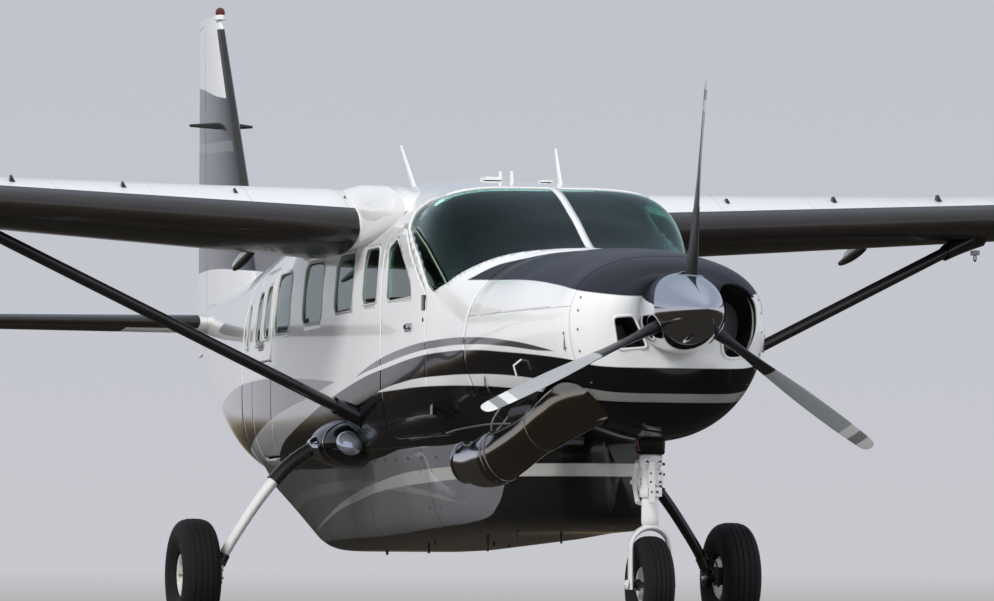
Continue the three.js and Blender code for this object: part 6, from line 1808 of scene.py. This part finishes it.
screens, bezels, knobs = [], [], []
for x in (-0.36, 0.0, 0.36):
    screens.append(block((0.245, 0.006, 0.170), (x, 2.945 - noseTip, 1.915)))
    for dx, dz, sx, sz in ((0, 0.094, 0.275, 0.018), (0, -0.094, 0.275, 0.018), (-0.131, 0, 0.018, 0.19),
                           (0.131, 0, 0.018, 0.19)):
        bezels.append(block((sx, 0.014, sz), (x + dx, 2.947 - noseTip, 1.915 + dz)))
    for k in range(6):
        knobs.append(lathe([[0.009, 0.0], [0.009, 0.016], [0.007, 0.019], [0.0006, 0.02]],
                           (x - 0.11 + 0.044 * k, 2.940 - noseTip, 1.775), (0, 1, 0), 16))
for k in range(10):
    knobs.append(lathe([[0.006, 0.0], [0.005, 0.022], [0.0006, 0.023]], (-0.45 + 0.1 * k, 2.940 - noseTip, 1.715),
                       (0, 1, 0.2), 12))
for x in (-0.05, 0.0, 0.05):
    knobs.append(tube([[x, 2.80 - noseTip, 1.725], [x, 2.83 - noseTip, 1.80]], 0.007, 10))
    knobs.append(block((0.030, 0.022, 0.030), (x, 2.832 - noseTip, 1.812)))
makePiece("panel_screens", screens, screenGlow, smooth=30)
makePiece("panel_bezels", bezels, satinBlack, bevel=0.003, smooth=30)
makePiece("panel_knobs", knobs, satinBlack)
yokes = []
for x in (-0.38, 0.38):
    yokes.append(tube([[x, 2.94 - noseTip, 1.80], [x, 3.10 - noseTip, 1.80]], 0.016, 16))
    horns = [[-0.15, 3.12, 1.905], [-0.155, 3.11, 1.83], [-0.10, 3.105, 1.785], [0, 3.10, 1.79], [0.10, 3.105, 1.785],
             [0.155, 3.11, 1.83], [0.15, 3.12, 1.905]]
    yokes.append(tube(smoothPath(np.array(horns) + [x, -noseTip, 0], 50), 0.014, 14))
makePiece("yokes", yokes, satinBlack, smooth=60)
# the mirror hangs from the roof's front edge, inside the windshield
mirror = block((0.11, 0.010, 0.040), (-0.050, -3.160, 2.684), spun(-0.3, "x"))
makePiece("roof_mirror", mirror, plainPaint("visorGreen", (0.10, 0.28, 0.24), 0.3, coat=0.2), bevel=0.004, smooth=30)


# a cushion: a superellipsoid |x/a|^n + |y/b|^n + |z/c|^m = 1, its long sides drawn in a little
def pillow(size, power=5.0, rows=36, columns=72):
    u = np.linspace(-math.pi / 2, math.pi / 2, rows)[:, None]
    v = np.arange(columns)[None] / columns * tau
    def lobe(value, p): return np.sign(value) * np.abs(value) ** (2 / p)
    ring = lobe(np.cos(u), 2.8)
    x, y, z = ring * lobe(np.cos(v), power), ring * lobe(np.sin(v), power), lobe(np.sin(u), 2.8) + 0 * v
    points = np.stack([x, y, z], -1) * np.array(size) / 2
    points[..., 1] *= 1 - 0.03 * np.cos(points[..., 0] / size[0] * tau) * (np.abs(points[..., 1]) / size[1])
    return grid(points, closed=True)


# an object's points as rows
def pointsOf(mesh):
    found = np.empty(len(mesh.vertices) * 3)
    mesh.vertices.foreach_get("co", found)
    return found.reshape(-1, 3)


# the mesh of an object with its modifiers applied at the frame that is set
def settled(work):
    return bpy.data.meshes.new_from_object(work.evaluated_get(bpy.context.evaluated_depsgraph_get()))


# a form filled by cloth pressure for some frames, each point moved by no more than a limit
def plumped(name, part, limit=0.012, lastFrame=20):
    scene = bpy.context.scene
    work, _ = newObject(name, *part)
    grain = work.modifiers.new("grain", "REMESH")
    grain.mode, grain.voxel_size = "VOXEL", 0.013
    even = settled(work)
    work.modifiers.clear()
    work.data = even
    points = pointsOf(even)
    cloth = work.modifiers.new("cloth", "CLOTH")
    cloth.settings.use_pressure, cloth.settings.uniform_pressure_force = True, 4.0
    cloth.settings.effector_weights.gravity = 0.0
    cloth.point_cache.frame_start, cloth.point_cache.frame_end = 1, lastFrame
    for number in range(1, lastFrame + 1):
        scene.frame_set(number)
    moved = pointsOf(settled(work)) - points
    far = np.linalg.norm(moved, axis=1, keepdims=True)
    points = points + moved * np.minimum(1, limit / np.maximum(far, 1e-9))
    work.modifiers.clear()
    scene.frame_set(1)
    faces = [list(p.vertices) for p in even.polygons]
    bpy.data.objects.remove(work)
    return points, faces


seatSize = {"cushion": (0.450, 0.460, 0.105), "back": (0.445, 0.095, 0.655), "head": (0.26, 0.075, 0.15)}
cushionShape = plumped("cushionForm", pillow(seatSize["cushion"]))
backShape = plumped("backForm", pillow(seatSize["back"], 4.0))
headShape = plumped("headForm", pillow(seatSize["head"], 3.5))


# a pad that leans back, padded and slotted as seat leather
def softPiece(name, shape, place, lean, replaces=()):
    verts, faces = shape
    piece, mesh = newObject(name, verts @ spun(lean, "x").T + np.array(place), faces)
    mesh.polygons.foreach_set("use_smooth", np.ones(len(mesh.polygons), bool))
    mesh.materials.append(seatLeather.material)
    finer = piece.modifiers.new("finer", "SUBSURF")
    finer.levels = finer.render_levels = 1
    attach(piece, "airframe")
    if replaces:
        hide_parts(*replaces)


frames, piping = [], []
seatRows = ((3.350, "crew"), (4.300, "cabin"), (5.200, "cabin"), (6.100, "cabin"))
seatPlaces = [(x, s, kind) for s, kind in seatRows for x in (-cabin["seatX"], cabin["seatX"])]
for count, (x, s, kind) in enumerate(seatPlaces):
    y, base = s - noseTip, cabin["seatBase"]
    replaced = ["cabin_seats"] if count == 2 else []
    if kind == "crew":
        replaced = [f"crew_seat_{'left' if x > 0 else 'right'}"]
    softPiece(f"seat_cushion_{count}", cushionShape, (x, y, base + 0.300), 0.03, replaced)
    softPiece(f"seat_back_{count}", backShape, (x, y + 0.270, base + 0.640), -0.18)
    softPiece(f"seat_head_{count}", headShape, (x, y + 0.330, base + 0.985), -0.18)
    wide, deep = 0.222, 0.228
    outline = roundedOutline([[x - wide, y - deep], [x + wide, y - deep], [x + wide, y + deep],
                              [x - wide, y + deep]], 0.05)
    piping.append(hoop(np.column_stack([outline, base + 0.300 + 0.03 * (outline[:, 1] - y)]), 0.0045))
    place = np.array([x, y, base])
    # legs, floor rails, back posts, the pan and the headrest's posts
    for dx in (-0.17, 0.17):
        for dy in (-0.16, 0.16):
            frames.append(tube(place + [[dx, dy, 0.002], [dx, dy, 0.235]], 0.014, 12))
        frames.append(tube(place + [[dx, -0.19, 0.020], [dx, 0.19, 0.020]], 0.012, 12))
        post = [[dx * 1.1, 0.17, 0.24], [dx * 1.1, 0.30, 0.36], [dx * 1.1, 0.345, 0.60]]
        frames.append(tube(smoothPath(place + post, 14), 0.012, 12))
    frames.append(block((0.40, 0.40, 0.020), place + [0, 0, 0.243]))
    for dx in (-0.04, 0.04):
        frames.append(tube(place + [[dx, 0.318, 0.90], [dx, 0.330, 0.97]], 0.006, 10))
makePiece("seat_frames", frames, darkSteel)
makePiece("seat_piping", piping, satinBlack, smooth=60)
print("cabin ready")
# the floor, kept out of reflections, and a sky that darkens below the horizon
floorFinish = plainPaint("studioFloor", (0.46, 0.45, 0.43), 0.85, coat=0.0, grime=0.05, scale=0.6)
reach = 60.0
ground, mesh = newObject("floor", [[-reach, -reach, 0], [reach, -reach, 0], [reach, reach, 0], [-reach, reach, 0]],
                         [[0, 1, 2, 3]])
mesh.materials.append(floorFinish.material)
ground.visible_glossy = False
world = bpy.data.worlds.new("studio")
bpy.context.scene.world = world
world.use_nodes = True
sky = Finish.__new__(Finish)
sky.tree = world.node_tree
sky.tree.nodes.clear()
height = sky.split(sky.add("ShaderNodeTexCoord").outputs["Generated"])[2] * 0.5 + 0.5
stops = [(0.0, (0.030, 0.027, 0.024)), (0.47, (0.034, 0.030, 0.025)), (0.488, (0.075, 0.058, 0.036)),
         (0.4985, (0.24, 0.19, 0.115)), (0.502, (0.58, 0.58, 0.62)), (0.55, (0.53, 0.55, 0.61)),
         (0.66, (0.36, 0.41, 0.51)), (0.80, (0.34, 0.40, 0.50)), (1.0, (0.50, 0.56, 0.66))]
band = sky.add("ShaderNodeValToRGB", {"stops": stops}, {0: height})
background = sky.add("ShaderNodeBackground", {}, {"Color": band.outputs[0], "Strength": 1.0})
sky.add("ShaderNodeOutputWorld", {}, {0: background.outputs[0]})


# a round lamp that lights the paint without showing in it
def softLight(name, place, aim, size, power, colour=(1, 1, 1)):
    data = bpy.data.lights.new(name, "AREA")
    data.shape, data.size, data.energy, data.color = "DISK", size, power, colour
    lamp = bpy.data.objects.new(name, data)
    bpy.context.scene.collection.objects.link(lamp)
    lamp.location = place
    lamp.visible_glossy = False
    lamp.rotation_euler = (Vector(aim) - Vector(place)).to_track_quat("-Z", "Y").to_euler()


softLight("key", (-24, -20, 26), (0, 0, 1.5), 14, 12500, (1.0, 0.98, 0.95))
softLight("fill", (22, -26, 16), (0, 0, 1.5), 16, 3800, (0.94, 0.97, 1.0))
softLight("back", (4, 30, 18), (0, 4, 2), 14, 2500, (1, 1, 1))
bpy.context.scene.view_settings.view_transform = "Standard"
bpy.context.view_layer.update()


print("stage ready")
